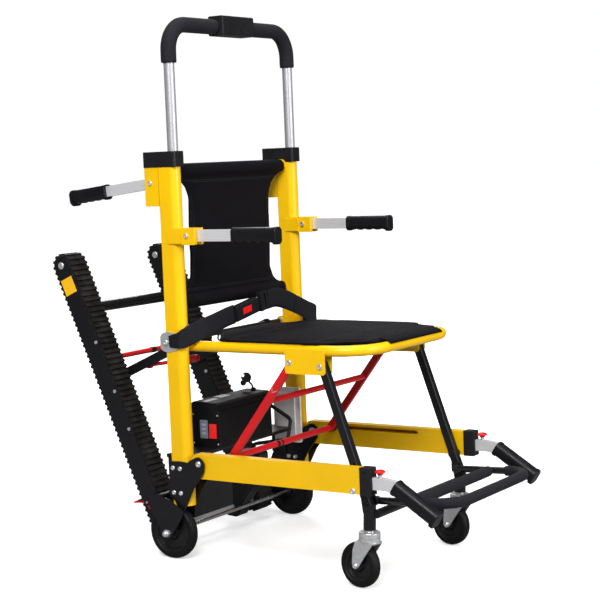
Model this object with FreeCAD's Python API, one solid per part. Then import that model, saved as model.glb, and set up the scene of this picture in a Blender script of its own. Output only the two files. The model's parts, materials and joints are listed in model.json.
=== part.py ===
import FreeCAD, Part
import os, math

# Powered tracked stair chair. Millimetres.
# +X is the sitter's left, -Y is the front of the chair, +Z is up.
# Origin: on the floor, mid width, below the main posts.
# Most of the frame is drawn in "frame coordinates" (posts upright) and then
# leaned back by LEAN degrees; wheels, casters and tracks are drawn in floor
# coordinates. Paired pieces are drawn on the right (-X) and mirrored, so
# there a smaller x is outward. Points without an x are (y, z) pairs.

V = FreeCAD.Vector
os.makedirs("parts", exist_ok=True)
SIDES = ((-1, "right"), (1, "left"))

# ---------------------------------------------------------------- shared dimensions
LEAN = 2.754            # backward lean of the frame, degrees
FRAME_SHIFT_Y = -1.1    # shift of the frame origin along Y

HALF_SPAN = 235.0       # half distance between post centres
POST_X = -HALF_SPAN     # right post
POST_R = 17.0           # front radius of the post section, also its half width
POST_YC = 2.5           # centre of the front radius
POST_REAR = 33.0        # flat rear face
POST_T = 2.0            # wall
POST_Z0, POST_Z1 = 128.0, 902.0
POST_SEAT = POST_R + 0.1    # clamping face beside the post, from its centre
CAP_HALF = 18.5
CAP_FRONT, CAP_REAR = -17.0, 74.0
CAP_Z1 = 930.0

TUBE_R = 12.0           # telescopic handle tube
TUBE_T = 1.5
TUBE_Z0 = 640.0         # lower end of the tube
TOP_Z = 1211.6          # centre of the top bar
BEND_R = 60.0
FOAM_R = 17.75
FOAM_Z0 = 1124.0
FOAM_X = -62.5          # inner end of the foam on the top bar

SEAT_PIVOT = (27.0, 502.0)
RAIL_PIVOT = (-46.0, 228.0)
LEG_TOP = (-358.0, 456.0)       # leg to seat
LEG_LOW = (-447.0, 199.0)       # leg to rail
BRACE_TOP = (-279.0, 462.5)     # brace to seat
BRACE_ROLLER = (-105.0, 239.0)
HANDLE_PIVOT = (56.0, 860.0)    # rear lifting handle
ARM_PIVOT = (-39.0, 741.0)
FOOT_PIVOT = (-466.0, 168.0)
BRACKET_BOLTS = [(7.0, 214.0), (27.0, 214.5), (7.0, 157.5), (27.0, 158.0)]
BACK_TOP = (18.0, 886.0)        # backrest cross tubes
BACK_BOTTOM = (26.0, 586.0)
BACK_TUBE_R = 11.0

SEAT_X = -205.0         # right side tube of the seat
SEAT_Z = 489.0
SEAT_R = 12.0
SEAT_FRONT, SEAT_REAR = -460.0, 17.0
SEAT_BEND = 90.0

RAIL_W = 25.0
RAIL_Z0, RAIL_Z1 = 193.0, 249.0
RAIL_FRONT = -464.5
RAIL_WALL = 2.0
LEG_X = -206.0          # right leg
LEG_W = 19.0
STEM_R = 13.5
STEM_Y = -455.0         # floor coordinates
STEM_Z0, STEM_Z1 = 131.0, 172.0

BAR_HALF_T = 6.0        # half thickness of the flat handle bars
GRIP_WAVES = 4

FOOT_X = 183.0
FOOT_FRONT, FOOT_FRONT_Z = -657.0, 175.0
FOOT_BAR_Y = -553.0
FOOT_BEND = 58.0
FOOT_R = 8.0

REAR_X, REAR_Y, REAR_R, REAR_W = -241.0, 45.0, 62.5, 24.0
REAR_AXIS = (REAR_Y, REAR_R)
AXLE_R = 4.5
PEDAL_PIN = (107.0, 125.0)
PEDAL_PIN_R = 2.5
CASTER_R, CASTER_W, CASTER_TRAIL, CASTER_SWIVEL = 50.0, 24.0, 25.0, 10.0

TRACK_X = 179.0         # centre planes of the tracks at plus and minus this
TRACK_HALF_W = 29.5
DRIVE = (104.0, 46.0)   # lower pulley centre, floor coordinates
IDLER = (403.0, 651.0)  # upper pulley centre, floor coordinates
TRACK_OUT = 28.5        # outer half thickness over the lugs
BELT_T = 3.2
LUG_H = 3.8
LUG_HALF_W = 3.3
LUG_COUNT = 112
BELT_IN = TRACK_OUT - BELT_T - LUG_H
BELT_OUT = BELT_IN + BELT_T
TRACK_LEN = math.hypot(IDLER[0] - DRIVE[0], IDLER[1] - DRIVE[1])
TRACK_LEAN = math.degrees(math.atan2(IDLER[0] - DRIVE[0], IDLER[1] - DRIVE[1]))
DRIVE_SHAFT_R = 8.0
SHAFT_HOLE_R = DRIVE_SHAFT_R + 0.06
IDLER_AXLE_R = 6.0

STAY_X = -139.0
STAY_ANGLE = math.radians(-23.3)


# ---------------------------------------------------------------- coordinates
def lean(shape):
    shape = shape.copy()
    shape.translate(V(0, FRAME_SHIFT_Y, 0))
    shape.rotate(V(0, 0, 0), V(1, 0, 0), -LEAN)
    return shape

def to_frame(y, z):
    t = math.radians(LEAN)
    return (y * math.cos(t) - z * math.sin(t) - FRAME_SHIFT_Y,
            z * math.cos(t) + y * math.sin(t))

def to_floor(y, z):
    t = math.radians(LEAN)
    y += FRAME_SHIFT_Y
    return y * math.cos(t) + z * math.sin(t), z * math.cos(t) - y * math.sin(t)

DRIVE_FRAME = to_frame(*DRIVE)

def shift(point, direction, distance):
    return (point[0] + direction[0] * distance, point[1] + direction[1] * distance)

def directions(start, end):
    # unit vectors along and across the line from start to end
    dy, dz = end[0] - start[0], end[1] - start[1]
    length = math.hypot(dy, dz)
    return (dy / length, dz / length), (-dz / length, dy / length)

def symmetric(points, middle=()):
    # points, then middle, then the points in reverse with the first value negated
    return points + list(middle) + [(-a, b) for a, b in reversed(points)]


# ---------------------------------------------------------------- solids
def mirror(shape):
    return shape.mirror(V(0, 0, 0), V(1, 0, 0))

def both(*shapes):
    return list(shapes) + [mirror(s) for s in shapes]

def box(x0, x1, y0, y1, z0, z1):
    x0, x1 = min(x0, x1), max(x0, x1)
    return Part.makeBox(x1 - x0, y1 - y0, z1 - z0, V(x0, y0, z0))

def cylinder(start, direction, r, length):
    return Part.makeCylinder(r, length, V(*start), V(*direction))

def cyl_x(x0, x1, y, z, r):
    return Part.makeCylinder(r, abs(x1 - x0), V(min(x0, x1), y, z), V(1, 0, 0))

def cyl_z(x, y, z0, z1, r):
    return cylinder((x, y, z0), (0, 0, 1), r, z1 - z0)

def ring_x(x0, x1, y, z, outer, inner):
    return cyl_x(x0, x1, y, z, outer).cut(cyl_x(x0 - 1, x1 + 1, y, z, inner))

def fillet(shape, radius, test):
    return shape.makeFillet(radius, [e for e in shape.Edges if test(e)])

def chamfer(shape, size, test):
    return shape.makeChamfer(size, [e for e in shape.Edges if test(e)])

def rounded_wire(points, radii, to_3d):
    # closed polygon with rounded corners; radii is one number or one per point
    count = len(points)
    if not isinstance(radii, (list, tuple)):
        radii = [radii] * count
    corners = []    # (arc start, arc middle or None, arc end)
    for i in range(count):
        before, corner, after = points[i - 1], points[i], points[(i + 1) % count]
        a = (before[0] - corner[0], before[1] - corner[1])
        b = (after[0] - corner[0], after[1] - corner[1])
        len_a, len_b = math.hypot(*a), math.hypot(*b)
        a = (a[0] / len_a, a[1] / len_a)
        b = (b[0] / len_b, b[1] / len_b)
        angle = math.acos(max(-1, min(1, a[0] * b[0] + a[1] * b[1])))
        if radii[i] <= 0 or abs(math.pi - angle) < 1e-3:
            corners.append((corner, None, corner))
            continue
        # the arc takes at most just under half of each neighbouring side
        trim = min(radii[i] / math.tan(angle / 2), 0.49 * len_a, 0.49 * len_b)
        r = trim * math.tan(angle / 2)
        bisector = (a[0] + b[0], a[1] + b[1])
        size = math.hypot(*bisector)
        bisector = (bisector[0] / size, bisector[1] / size)
        centre = shift(corner, bisector, r / math.sin(angle / 2))
        corners.append((shift(corner, a, trim), shift(centre, bisector, -r),
                        shift(corner, b, trim)))
    edges = []
    for i, (start, middle, end) in enumerate(corners):
        if middle is not None:
            arc = Part.Arc(V(*to_3d(start)), V(*to_3d(middle)), V(*to_3d(end)))
            edges.append(arc.toShape())
        following = corners[(i + 1) % count][0]
        if math.hypot(end[0] - following[0], end[1] - following[1]) > 1e-6:
            edges.append(Part.makeLine(V(*to_3d(end)), V(*to_3d(following))))
    return Part.Wire(edges)

def plate_x(points, x0, x1, radii=0):
    # (y, z) outline between x0 and x1
    x0, x1 = min(x0, x1), max(x0, x1)
    wire = rounded_wire(points, radii, lambda p: (x0, p[0], p[1]))
    return Part.Face(wire).extrude(V(x1 - x0, 0, 0))

def plate_y(points, y0, y1, radii=0):
    # (x, z) outline
    wire = rounded_wire(points, radii, lambda p: (p[0], y0, p[1]))
    return Part.Face(wire).extrude(V(0, y1 - y0, 0))

def plate_z(points, z0, z1, radii=0):
    # (x, y) outline
    wire = rounded_wire(points, radii, lambda p: (p[0], p[1], z0))
    return Part.Face(wire).extrude(V(0, 0, z1 - z0))

def bent_path(points, radii):
    # open 3D polyline with rounded corners
    edges = []
    current = V(*points[0])
    for i in range(1, len(points) - 1):
        corner = V(*points[i])
        a = (V(*points[i - 1]) - corner).normalize()
        b = (V(*points[i + 1]) - corner).normalize()
        angle = a.getAngle(b)
        r = radii[i - 1] if isinstance(radii, (list, tuple)) else radii
        trim = r / math.tan(angle / 2)
        start = corner + a * trim
        end = corner + b * trim
        bisector = (a + b).normalize()
        middle = corner + bisector * (r / math.sin(angle / 2)) - bisector * r
        if (start - current).Length > 1e-6:
            edges.append(Part.makeLine(current, start))
        edges.append(Part.Arc(start, middle, end).toShape())
        current = end
    edges.append(Part.makeLine(current, V(*points[-1])))
    return Part.Wire(edges)

def sweep(points, radii, r):
    direction = (V(*points[1]) - V(*points[0])).normalize()
    profile = Part.Wire([Part.makeCircle(r, V(*points[0]), direction)])
    return bent_path(points, radii).makePipeShell([profile], True, True)

def tube(points, radii, outer, inner):
    return sweep(points, radii, outer).cut(sweep(points, radii, inner))

def revolve(profile, axis):
    # closed (x, z) profile about an axis through the origin
    points = [V(x, 0, z) for x, z in profile]
    face = Part.Face(Part.makePolygon(points + [points[0]]))
    return face.revolve(V(0, 0, 0), axis, 360)

def revolve_x(profile, x, y, z):
    # (axial, radius) profile about the X axis through (y, z)
    solid = revolve(profile, V(1, 0, 0))
    solid.translate(V(x, y, z))
    return solid

def webbing(points, half_w, half_t):
    # strap of triangles along centre points, its width kept as upright as it can be
    rows = []
    for i, point in enumerate(points):
        before = V(*points[max(0, i - 1)])
        after = V(*points[min(len(points) - 1, i + 1)])
        direction = (after - before).normalize()
        thick = direction.cross(V(0, 0, 1)).normalize()
        wide = thick.cross(direction).normalize() * half_w
        thick = thick * half_t
        p = V(*point)
        rows.append([p + wide + thick, p - wide + thick, p - wide - thick, p + wide - thick])
    faces = []
    def quad(a, b, c, d):
        faces.append(Part.Face(Part.makePolygon([a, b, c, a])))
        faces.append(Part.Face(Part.makePolygon([a, c, d, a])))
    for row, following in zip(rows, rows[1:]):
        for k in range(4):
            m = (k + 1) % 4
            quad(row[k], row[m], following[m], following[k])
    quad(*rows[0][::-1])
    quad(*rows[-1])
    solid = Part.Solid(Part.Shell(faces))
    if solid.Volume < 0:
        solid.reverse()
    return solid

def bolt(x_in, x_out, y, z, r, head_r, head_h):
    # chamfered socket-head bolt along X; the head lies beyond x_out
    sign = 1 if x_out > x_in else -1
    end_x = x_out + sign * head_h
    head = cylinder((x_out, y, z), (sign, 0, 0), head_r, head_h)
    head = chamfer(head, head_h * 0.55,
                   lambda e: abs(e.BoundBox.Center.x - end_x) < 1e-4 and e.Length > 3)
    socket = cylinder((x_out + sign * head_h * 0.55, y, z), (sign, 0, 0),
                      head_r * 0.42, head_h * 0.6)
    return cyl_x(x_in, x_out, y, z, r).fuse(head).cut(socket).removeSplitter()

def bolt_and_nut(x, half_grip, pivot, r, head_r, head_h, nut_r, nut_h):
    # bolt centred on x with its head outward, round nut inward
    nut_x = x + half_grip + 0.05
    return both(bolt(x + half_grip, x - half_grip, *pivot, r, head_r, head_h),
                ring_x(nut_x, nut_x + nut_h, *pivot, nut_r, r + 0.05))

def d_section(r, rear, z0, z1, rounded=True):
    # bar on the right post's axis: round front, flat rear
    x = POST_X
    corners = [V(x + r, POST_YC, z0), V(x + r, rear, z0),
               V(x - r, rear, z0), V(x - r, POST_YC, z0)]
    edges = [Part.Arc(corners[3], V(x, POST_YC - r, z0), corners[0]).toShape()]
    edges += [Part.makeLine(a, b) for a, b in zip(corners, corners[1:])]
    solid = Part.Face(Part.Wire(edges)).extrude(V(0, 0, z1 - z0))
    if not rounded:
        return solid
    return fillet(solid, 3.0, lambda e: abs(e.BoundBox.ZLength - (z1 - z0)) < 1e-6
                  and abs(e.BoundBox.YMax - rear) < 1e-6)

def grip(length, width, height, bar_h, offset=0.0):
    # grip along +Y from the origin, hollow for its bar, with finger waves below
    w, h = width / 2, height / 2
    def section(side, below, above, y0, y1, radius):
        outline = [(-w - side, -h - below), (w + side, -h - below),
                   (w + side, h + above), (-w - side, h + above)]
        return plate_y(outline, y0, y1, radius)
    body = section(0, 0, 0, 0, length, min(width, height) * 0.42)
    flange = section(2, 3.5, 1, length - 9, length, width * 0.42)
    flange = fillet(flange, 2.5, lambda e: e.BoundBox.YMin > length - 0.01)
    collar = section(0.8, 1.5, 0.6, 0, 7, width * 0.42)
    body = body.fuse(flange).fuse(collar)
    pitch = (length - 22) / GRIP_WAVES
    for i in range(GRIP_WAVES):
        body = body.cut(cyl_x(-width, width, 11 + pitch * (i + 0.5), -h - 13.2, 16.0))
    body.translate(V(offset, 0, 0))
    half_t, half_h = BAR_HALF_T + 0.05, bar_h / 2 + 0.05
    return body.cut(box(-half_t, half_t, -1, length - 6, -half_h, half_h)).removeSplitter()

def hinged_bar(length, half_h, slot_start, slot_half_h):
    # flat hollow bar along +Y, pivoting about the origin
    bar = plate_x([(-half_h, -half_h), (length, -half_h), (length, half_h), (-half_h, half_h)],
                  -BAR_HALF_T, BAR_HALF_T, [half_h, 2, 2, half_h])
    bar = bar.cut(cyl_x(-10, 10, 0, 0, 3.2))
    return bar.cut(box(-4.2, 4.2, slot_start, length - 6, -slot_half_h, slot_half_h))


PIECES = {}

def add_floor(name, *shapes):
    PIECES.setdefault(name, []).extend(shapes)

def add(name, *shapes):
    add_floor(name, *[lean(s) for s in shapes])


# ---------------------------------------------------------------- posts and handle
def main_posts():
    post = d_section(POST_R, POST_REAR, POST_Z0, POST_Z1)
    post = post.cut(d_section(POST_R - POST_T, POST_REAR - POST_T,
                              POST_Z0 - 1, POST_Z1 + 1, rounded=False))
    post = post.cut(cyl_x(POST_X - 20, POST_X + 20, *SEAT_PIVOT, 4.25))
    for hole in BRACKET_BOLTS:
        post = post.cut(cyl_x(POST_X - 20, POST_X + 20, *hole, 3.15))
    add("main_posts", *both(post))

def handle_blocks():
    # hollow blocks behind the posts that carry the rear lifting handles
    block = box(POST_X - POST_R, POST_X + POST_R, POST_REAR + 0.05, 72.5, 808, POST_Z1)
    block = fillet(block, 3.0, lambda e: e.BoundBox.ZLength > 90 and e.BoundBox.YMax > 72)
    block = block.cut(box(POST_X - 7.5, POST_X + 7.5, POST_REAR + 3, 80, 800, 886))
    block = block.cut(cyl_x(POST_X - 20, POST_X + 20, *HANDLE_PIVOT, 3.15))
    add("handle_brackets", *both(block))

def post_caps():
    base = POST_Z1 + 0.05
    def block(z0, z1):
        solid = box(POST_X - CAP_HALF, POST_X + CAP_HALF, CAP_FRONT, CAP_REAR, z0, z1)
        return fillet(solid, 5.0, lambda e: e.BoundBox.ZLength > 6)
    cap = fillet(block(base, CAP_Z1), 2.0, lambda e: e.BoundBox.ZMin > CAP_Z1 - 0.01)
    hollow = d_section(POST_SEAT, POST_REAR + 2, POST_Z1 - 9, base)
    hollow = hollow.fuse(box(POST_X - POST_SEAT, POST_X + POST_SEAT,
                             POST_REAR - 2, 72.6, POST_Z1 - 9, base))
    lip = block(POST_Z1 - 7, base).cut(hollow)
    cap = cap.fuse(lip).cut(cyl_z(POST_X, 0, 880, 960, TUBE_R + 0.06))
    cap = cap.cut(cyl_x(POST_X + 16, POST_X + 30, *BACK_TOP, 17.3)).removeSplitter()
    add("post_caps", *both(cap))

def telescopic_handle():
    path = [(-HALF_SPAN, 0, TUBE_Z0), (-HALF_SPAN, 0, TOP_Z),
            (HALF_SPAN, 0, TOP_Z), (HALF_SPAN, 0, TUBE_Z0)]
    add("handle_tube", tube(path, BEND_R, TUBE_R, TUBE_R - TUBE_T))

    foam = sweep([(POST_X, 0, FOAM_Z0), (POST_X, 0, TOP_Z), (FOAM_X, 0, TOP_Z)],
                 BEND_R, FOAM_R)
    foam = foam.cut(sweep([(POST_X, 0, FOAM_Z0 - 5), (POST_X, 0, TOP_Z), (-50, 0, TOP_Z)],
                          BEND_R, TUBE_R + 0.02))
    foam = fillet(foam, 2.5, lambda e: abs(e.Length - 2 * math.pi * FOAM_R) < 0.5
                  and e.BoundBox.ZLength < 0.01)
    add("handle_foam", *both(foam))

    # slide bushes at the lower ends of the tube
    bush_z = TUBE_Z0 - 12
    bush = cyl_z(POST_X, 0, bush_z, bush_z + 30, TUBE_R - TUBE_T - 0.02)
    bush = bush.fuse(cyl_z(POST_X, 0, bush_z, bush_z + 11.9, TUBE_R))
    add("handle_tube", *both(bush))

def control_box():
    # hollow box round the top bar
    half_w, button_x, button_z = 62.0, -38.0, 1221.0
    case = box(-half_w, half_w, -27, 16, 1191, 1237)
    case = fillet(case, 5.0, lambda e: e.BoundBox.XLength > 100)
    case = fillet(case, 2.0, lambda e: e.BoundBox.XLength < 1e-6
                  and abs(abs(e.BoundBox.XMin) - half_w) < 1e-3)
    case = case.cut(cyl_x(-70, 70, 0, TOP_Z, TUBE_R + 0.03))
    case = case.cut(box(-17.2, 17.2, 8.0, 20, 1216.8, 1229.2))
    case = case.cut(cylinder((button_x, 5, button_z), (0, 1, 0), 6.2, 20))
    case = case.cut(box(-58, 58, -24, -14.5, 1196, 1232))
    for x in (-44.0, 44.0):     # narrow grooves over the front and top
        case = case.cut(box(x - 0.35, x + 0.35, -28, -26.2, 1190, 1238))
        case = case.cut(box(x - 0.35, x + 0.35, -28, 17, 1236.2, 1238))
    add("control_box", case)

    outline = [(14.2, 1219.0), (19.5, 1217.6), (20.2, 1223.0), (19.5, 1228.4), (14.2, 1227.0)]
    rocker = plate_x(outline, -16.5, 16.5, 0.5)
    rocker = rocker.fuse(cyl_x(-16.5, 16.5, 12.4, 1223.0, 2.6)).removeSplitter()
    add("direction_rocker", rocker)

    button = cylinder((button_x, 14.4, button_z), (0, 1, 0), 5.9, 5.1)
    button = fillet(button, 1.2, lambda e: e.BoundBox.YMin > 19.0 and e.BoundBox.XLength > 5)
    add("run_button", button)


# ---------------------------------------------------------------- rear handles and armrests
def rear_handles():
    for side, name in SIDES:
        bar = hinged_bar(236.0, 12, 18, 10.2)
        handle = grip(106.0, 30, 33, 24)
        handle.translate(V(0, 139.5, -0.5))
        handle = handle.cut(bar)
        for shape in (bar, handle):
            shape.rotate(V(0, 0, 0), V(1, 0, 0), -6.6)      # slopes down to the rear
            shape.translate(V(side * HALF_SPAN, *HANDLE_PIVOT))
        add("rear_handle_" + name, bar, handle)
    add("frame_bolts", *bolt_and_nut(POST_X, POST_SEAT, HANDLE_PIVOT, 3.0, 6.0, 4.0, 5.5, 5))

def arm_brackets():
    bracket = box(POST_X - POST_R, POST_X + POST_R, -62, 12, 721, 758)
    bracket = fillet(bracket, 2.0, lambda e: e.BoundBox.YMax < -61)
    bracket = bracket.cut(d_section(POST_R + 0.06, POST_REAR, 700, 800))
    slot = box(POST_X - 7.5, POST_X + 7.5, -80, -19, 700, 800)
    bracket = bracket.cut(slot)
    bracket = bracket.cut(box(POST_X - 30, POST_X + 30, 2.0, 20, 700, 800))
    bracket = bracket.cut(cyl_x(POST_X - 20, POST_X + 20, *ARM_PIVOT, 3.15))
    # ears beside the post, joined across its front
    ear_in, ear_out = POST_R + 0.05, 20.5
    ears = box(POST_X - ear_out, POST_X - ear_in, -26, 10, 724, 755)
    ears = ears.fuse(box(POST_X + ear_in, POST_X + ear_out, -26, 10, 724, 755))
    ears = ears.fuse(box(POST_X - ear_out, POST_X + ear_out, -26, -20, 724, 755))
    bracket = bracket.fuse(ears.cut(slot)).removeSplitter()
    add("handle_brackets", *both(bracket))
    add("frame_bolts", *bolt_and_nut(POST_X, POST_SEAT, ARM_PIVOT, 3.0, 6.0, 4.0, 5.5, 5))

def armrests():
    for side, name in SIDES:
        bar = hinged_bar(232.0, 13, 20, 11)
        # set outwards to clear the folding seat
        handle = grip(118.0, 25, 34, 26, offset=-side * 3.4)
        handle.translate(V(0, 121.0, 0))
        handle = handle.cut(bar)
        for shape in (bar, handle):
            shape.rotate(V(0, 0, 0), V(0, 0, 1), 180)
            shape.translate(V(side * HALF_SPAN, *ARM_PIVOT))
        add("arm_bar_" + name, bar)
        add("arm_grip_" + name, handle)


# ---------------------------------------------------------------- backrest
def backrest():
    tube_end = HALF_SPAN - POST_R - 0.05
    for y, z in (BACK_TOP, BACK_BOTTOM):
        cross = cyl_x(-tube_end, tube_end, y, z, BACK_TUBE_R)
        add("main_posts", cross.cut(cyl_x(-HALF_SPAN, HALF_SPAN, y, z, BACK_TUBE_R - 2)))

    bore_r = BACK_TUBE_R + 0.3
    def sleeve(y, z):
        return cyl_x(-213, 213, y, z, 17.0).cut(cyl_x(-220, 220, y, z, bore_r))
    # right half of the sheet outline, (x, z) from top to bottom
    outline = [(-210, 886), (-212, 872), (-196, 862), (-176, 848), (-165, 826), (-163, 790),
               (-163, 690), (-165, 640), (-178, 615), (-200, 602), (-211, 590), (-211, 586)]
    sheet = plate_y(symmetric(outline), -3.0, 3.0, 6)
    slope = math.degrees(math.atan2(BACK_BOTTOM[0] - BACK_TOP[0], BACK_TOP[1] - BACK_BOTTOM[1]))
    sheet.rotate(V(0, 0, BACK_TOP[1]), V(1, 0, 0), slope)
    sheet.translate(V(0, BACK_TOP[0], 0))
    for axis in (BACK_TOP, BACK_BOTTOM):
        sheet = sheet.cut(cyl_x(-230, 230, *axis, bore_r))
    sling = sleeve(*BACK_TOP).fuse(sheet).fuse(sleeve(*BACK_BOTTOM)).removeSplitter()
    add("back_sling", sling)


# ---------------------------------------------------------------- seat
def seat_bracket():
    # two side plates joined by a web round the seat tube
    outline = [(-268, 438), (-268, 492), (-371, 492), (-371, 438)]
    corner = [7, 0, 0, 7]
    inner, outer = 13.0, 15.6
    plates = plate_x(outline, SEAT_X - outer, SEAT_X - inner, corner)
    plates = plates.fuse(plate_x(outline, SEAT_X + inner, SEAT_X + outer, corner))
    web = box(SEAT_X - outer, SEAT_X + outer, -371, -268, SEAT_Z - 3, SEAT_Z + 3)
    web = web.cut(cylinder((SEAT_X, -420, SEAT_Z), (0, 1, 0), SEAT_R - 1.0, 300))
    bracket = plates.fuse(web)
    for pivot in (LEG_TOP, BRACE_TOP):
        bracket = bracket.cut(cyl_x(SEAT_X - 20, SEAT_X + 20, *pivot, 4.15))
    return bracket

def seat_frame():
    path = [(SEAT_X, SEAT_REAR, SEAT_Z), (SEAT_X, SEAT_FRONT, SEAT_Z),
            (-SEAT_X, SEAT_FRONT, SEAT_Z), (-SEAT_X, SEAT_REAR, SEAT_Z)]
    seat = tube(path, SEAT_BEND, SEAT_R, SEAT_R - 1.8)
    # pivot lug on the rear of each side tube
    lug = plate_x([(-14, 486), (-14, 497), (14, 513), (38, 514), (39, 492), (14, 481)],
                  SEAT_X + 3, SEAT_X - 4.0, [2, 8, 10, 12, 12, 10])
    seat = seat.fuse(lug).fuse(mirror(lug))
    seat = seat.cut(cyl_x(-260, 260, *SEAT_PIVOT, 4.25))
    bracket = seat_bracket()
    seat = seat.fuse(bracket).fuse(mirror(bracket)).removeSplitter()
    add("seat_frame", seat)
    for pivot in (LEG_TOP, BRACE_TOP):
        add("seat_bolts", *bolt_and_nut(SEAT_X, 15.7, pivot, 4.0, 6.5, 2.6, 6.5, 5))

def seat_sling():
    # left half of the top layer, (x, y) from rear to front
    outline = [(90, 6), (199, -72), (212, -96), (217, -356), (176, -379), (147, -456)]
    radii = [8, 4, 4, 8, 12, 6]
    pad = plate_z(symmetric(outline), 501.3, 506.3, radii + radii[::-1])
    under = plate_z(symmetric([(190, -84), (190, -350), (120, -440)]), 493.0, 501.3, 10)
    add("seat_sling", pad.fuse(under).removeSplitter())

def seat_pivots():
    # bolts with the lap belt anchor plates under their heads
    inner_x = SEAT_X + 3.4
    pin = bolt(inner_x, POST_X - 23.4, *SEAT_PIVOT, 4.0, 7.0, 4.5)
    nut = cyl_x(inner_x, inner_x + 6, *SEAT_PIVOT, 7)
    add("frame_bolts", *both(pin.fuse(nut).removeSplitter()))
    anchor = plate_x([(47, 484), (47, 520), (27, 526), (-4, 520), (-4, 486), (27, 478)],
                     POST_X - POST_SEAT, POST_X - 19.3, [14, 14, 12, 4, 4, 12])
    anchor = anchor.cut(cyl_x(-300, -200, *SEAT_PIVOT, 4.1))
    tab = box(POST_X - 22.6, POST_X - POST_SEAT, -0.9, 1.5, 488, 518)
    add("belt_anchors", *both(anchor.fuse(tab).removeSplitter()))


# ---------------------------------------------------------------- lap belt
def lap_belt():
    # centre lines of the straps, (x, y, z)
    right = [(-259.5, -3.2, 506.2), (-258.6, -8.5, 506.8), (-254.0, -14.5, 508.5)]
    for degrees in (65, 90):    # round the front of the post
        a = math.radians(degrees)
        right.append((POST_X - 22.0 * math.cos(a), POST_YC - 22.0 * math.sin(a),
                      505 + degrees * 0.10))
    right += [(-226, -28, 520), (-215, -39, 529), (-198, -47, 534), (-170, -53, 541),
              (-140, -57, 548), (-113.5, -58.5, 552.5)]
    left = [(24.0, -58.5, 571), (60, -58.5, 574), (105, -58, 564), (150, -58, 548),
            (190, -60, 532), (222, -60, 521), (246, -50, 512), (257.5, -30, 507),
            (260.2, -14, 505), (259.5, -3.2, 504.5)]
    add("lap_belt_webbing", *[webbing(path, 22, 1.1) for path in (right, left)])

def buckle():
    # drawn level, then tilted up towards the sitter's left
    def add_tilted(name, shape):
        shape = shape.copy()
        shape.rotate(V(-68, -58.5, 559), V(0, 1, 0), -10.0)
        add(name, shape)
    housing = box(-112, -26, -68, -49, 541, 577)
    housing = fillet(housing, 4.0, lambda e: e.BoundBox.XLength > 80)
    housing = housing.cut(box(-60, -20, -61.5, -55.5, 546, 572))
    housing = housing.cut(box(-88, -52, -70, -61.4, 550.5, 567.5))
    housing = housing.cut(box(-113, -106, -60, -57, 545, 573))
    add_tilted("buckle_housing", housing)
    button = box(-87.3, -52.7, -69.2, -65.0, 551.2, 566.8)
    add_tilted("buckle_button", fillet(button, 2.0, lambda e: e.BoundBox.YMax < -69))
    tongue = box(-52, 2, -60, -57, 548, 570).fuse(box(-8, 22, -63.5, -53.5, 537, 581))
    tongue = tongue.cut(box(8, 14, -70, -50, 542, 576))
    add_tilted("buckle_tongue", tongue.removeSplitter())


# ---------------------------------------------------------------- lower rails
def lower_rails():
    x0, x1 = POST_X - RAIL_W / 2, POST_X + RAIL_W / 2
    outline = [(-22, RAIL_Z0 + 10), (-33, RAIL_Z0), (RAIL_FRONT, RAIL_Z0),
               (RAIL_FRONT, RAIL_Z1), (-31, RAIL_Z1), (-21, RAIL_Z1 - 9)]
    rail = plate_x(outline, x0, x1, [6, 6, 1.5, 1.5, 5, 5])
    rail = rail.cut(box(x0 + RAIL_WALL, x1 - RAIL_WALL, -520, -58,
                        RAIL_Z0 + RAIL_WALL, RAIL_Z1 - RAIL_WALL))
    # long slot in the inner wall, level with the brace rollers
    slot = [(-342, 234.5), (-100, 234.5), (-100, 243), (-342, 243)]
    rail = rail.cut(plate_x(slot, x1 - 2.5, x1 + 1, 3.9))
    rail = rail.cut(cyl_x(x0 - 1, x1 + 1, *RAIL_PIVOT, 4.06))
    rail = rail.cut(cyl_x(x0 - 1, x1 + 1, *LEG_LOW, 4.1))
    add("lower_rails", *both(rail))

    cap = box(POST_X - 13.5, POST_X + 13.5, RAIL_FRONT - 27.5, RAIL_FRONT - 0.05,
              RAIL_Z0 - 1.5, RAIL_Z1 + 1.5)
    cap = fillet(cap, 3.0, lambda e: e.BoundBox.YMax < RAIL_FRONT - 27)
    plug = box(POST_X - 10.4, POST_X + 10.4, RAIL_FRONT - 2, RAIL_FRONT + 18,
               208.5, RAIL_Z1 - 2.1)
    cap = cap.fuse(plug).cut(box(POST_X - 6.1, POST_X + 6.1, -520, -400, 203.9, 230.1))
    cap = cap.cut(cyl_x(POST_X - 20, POST_X - 11, RAIL_FRONT - 14, 240, 4)).removeSplitter()
    add("rail_end_caps", *both(cap))

    # bolt through rail and leg, with a spacer between them
    leg_in, leg_out = LEG_X + LEG_W / 2, LEG_X - LEG_W / 2
    pin = bolt(leg_in + 2.2, x0 - 0.1, *LEG_LOW, 4.0, 6.5, 3.6)
    nut = cyl_x(leg_in + 0.8, leg_in + 2.8, *LEG_LOW, 9.0)
    spacer = ring_x(x1 + 0.1, leg_out - 0.5, *LEG_LOW, 8.0, 4.06)
    add("lower_rails", *both(pin.fuse(nut).removeSplitter(), spacer))

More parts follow.
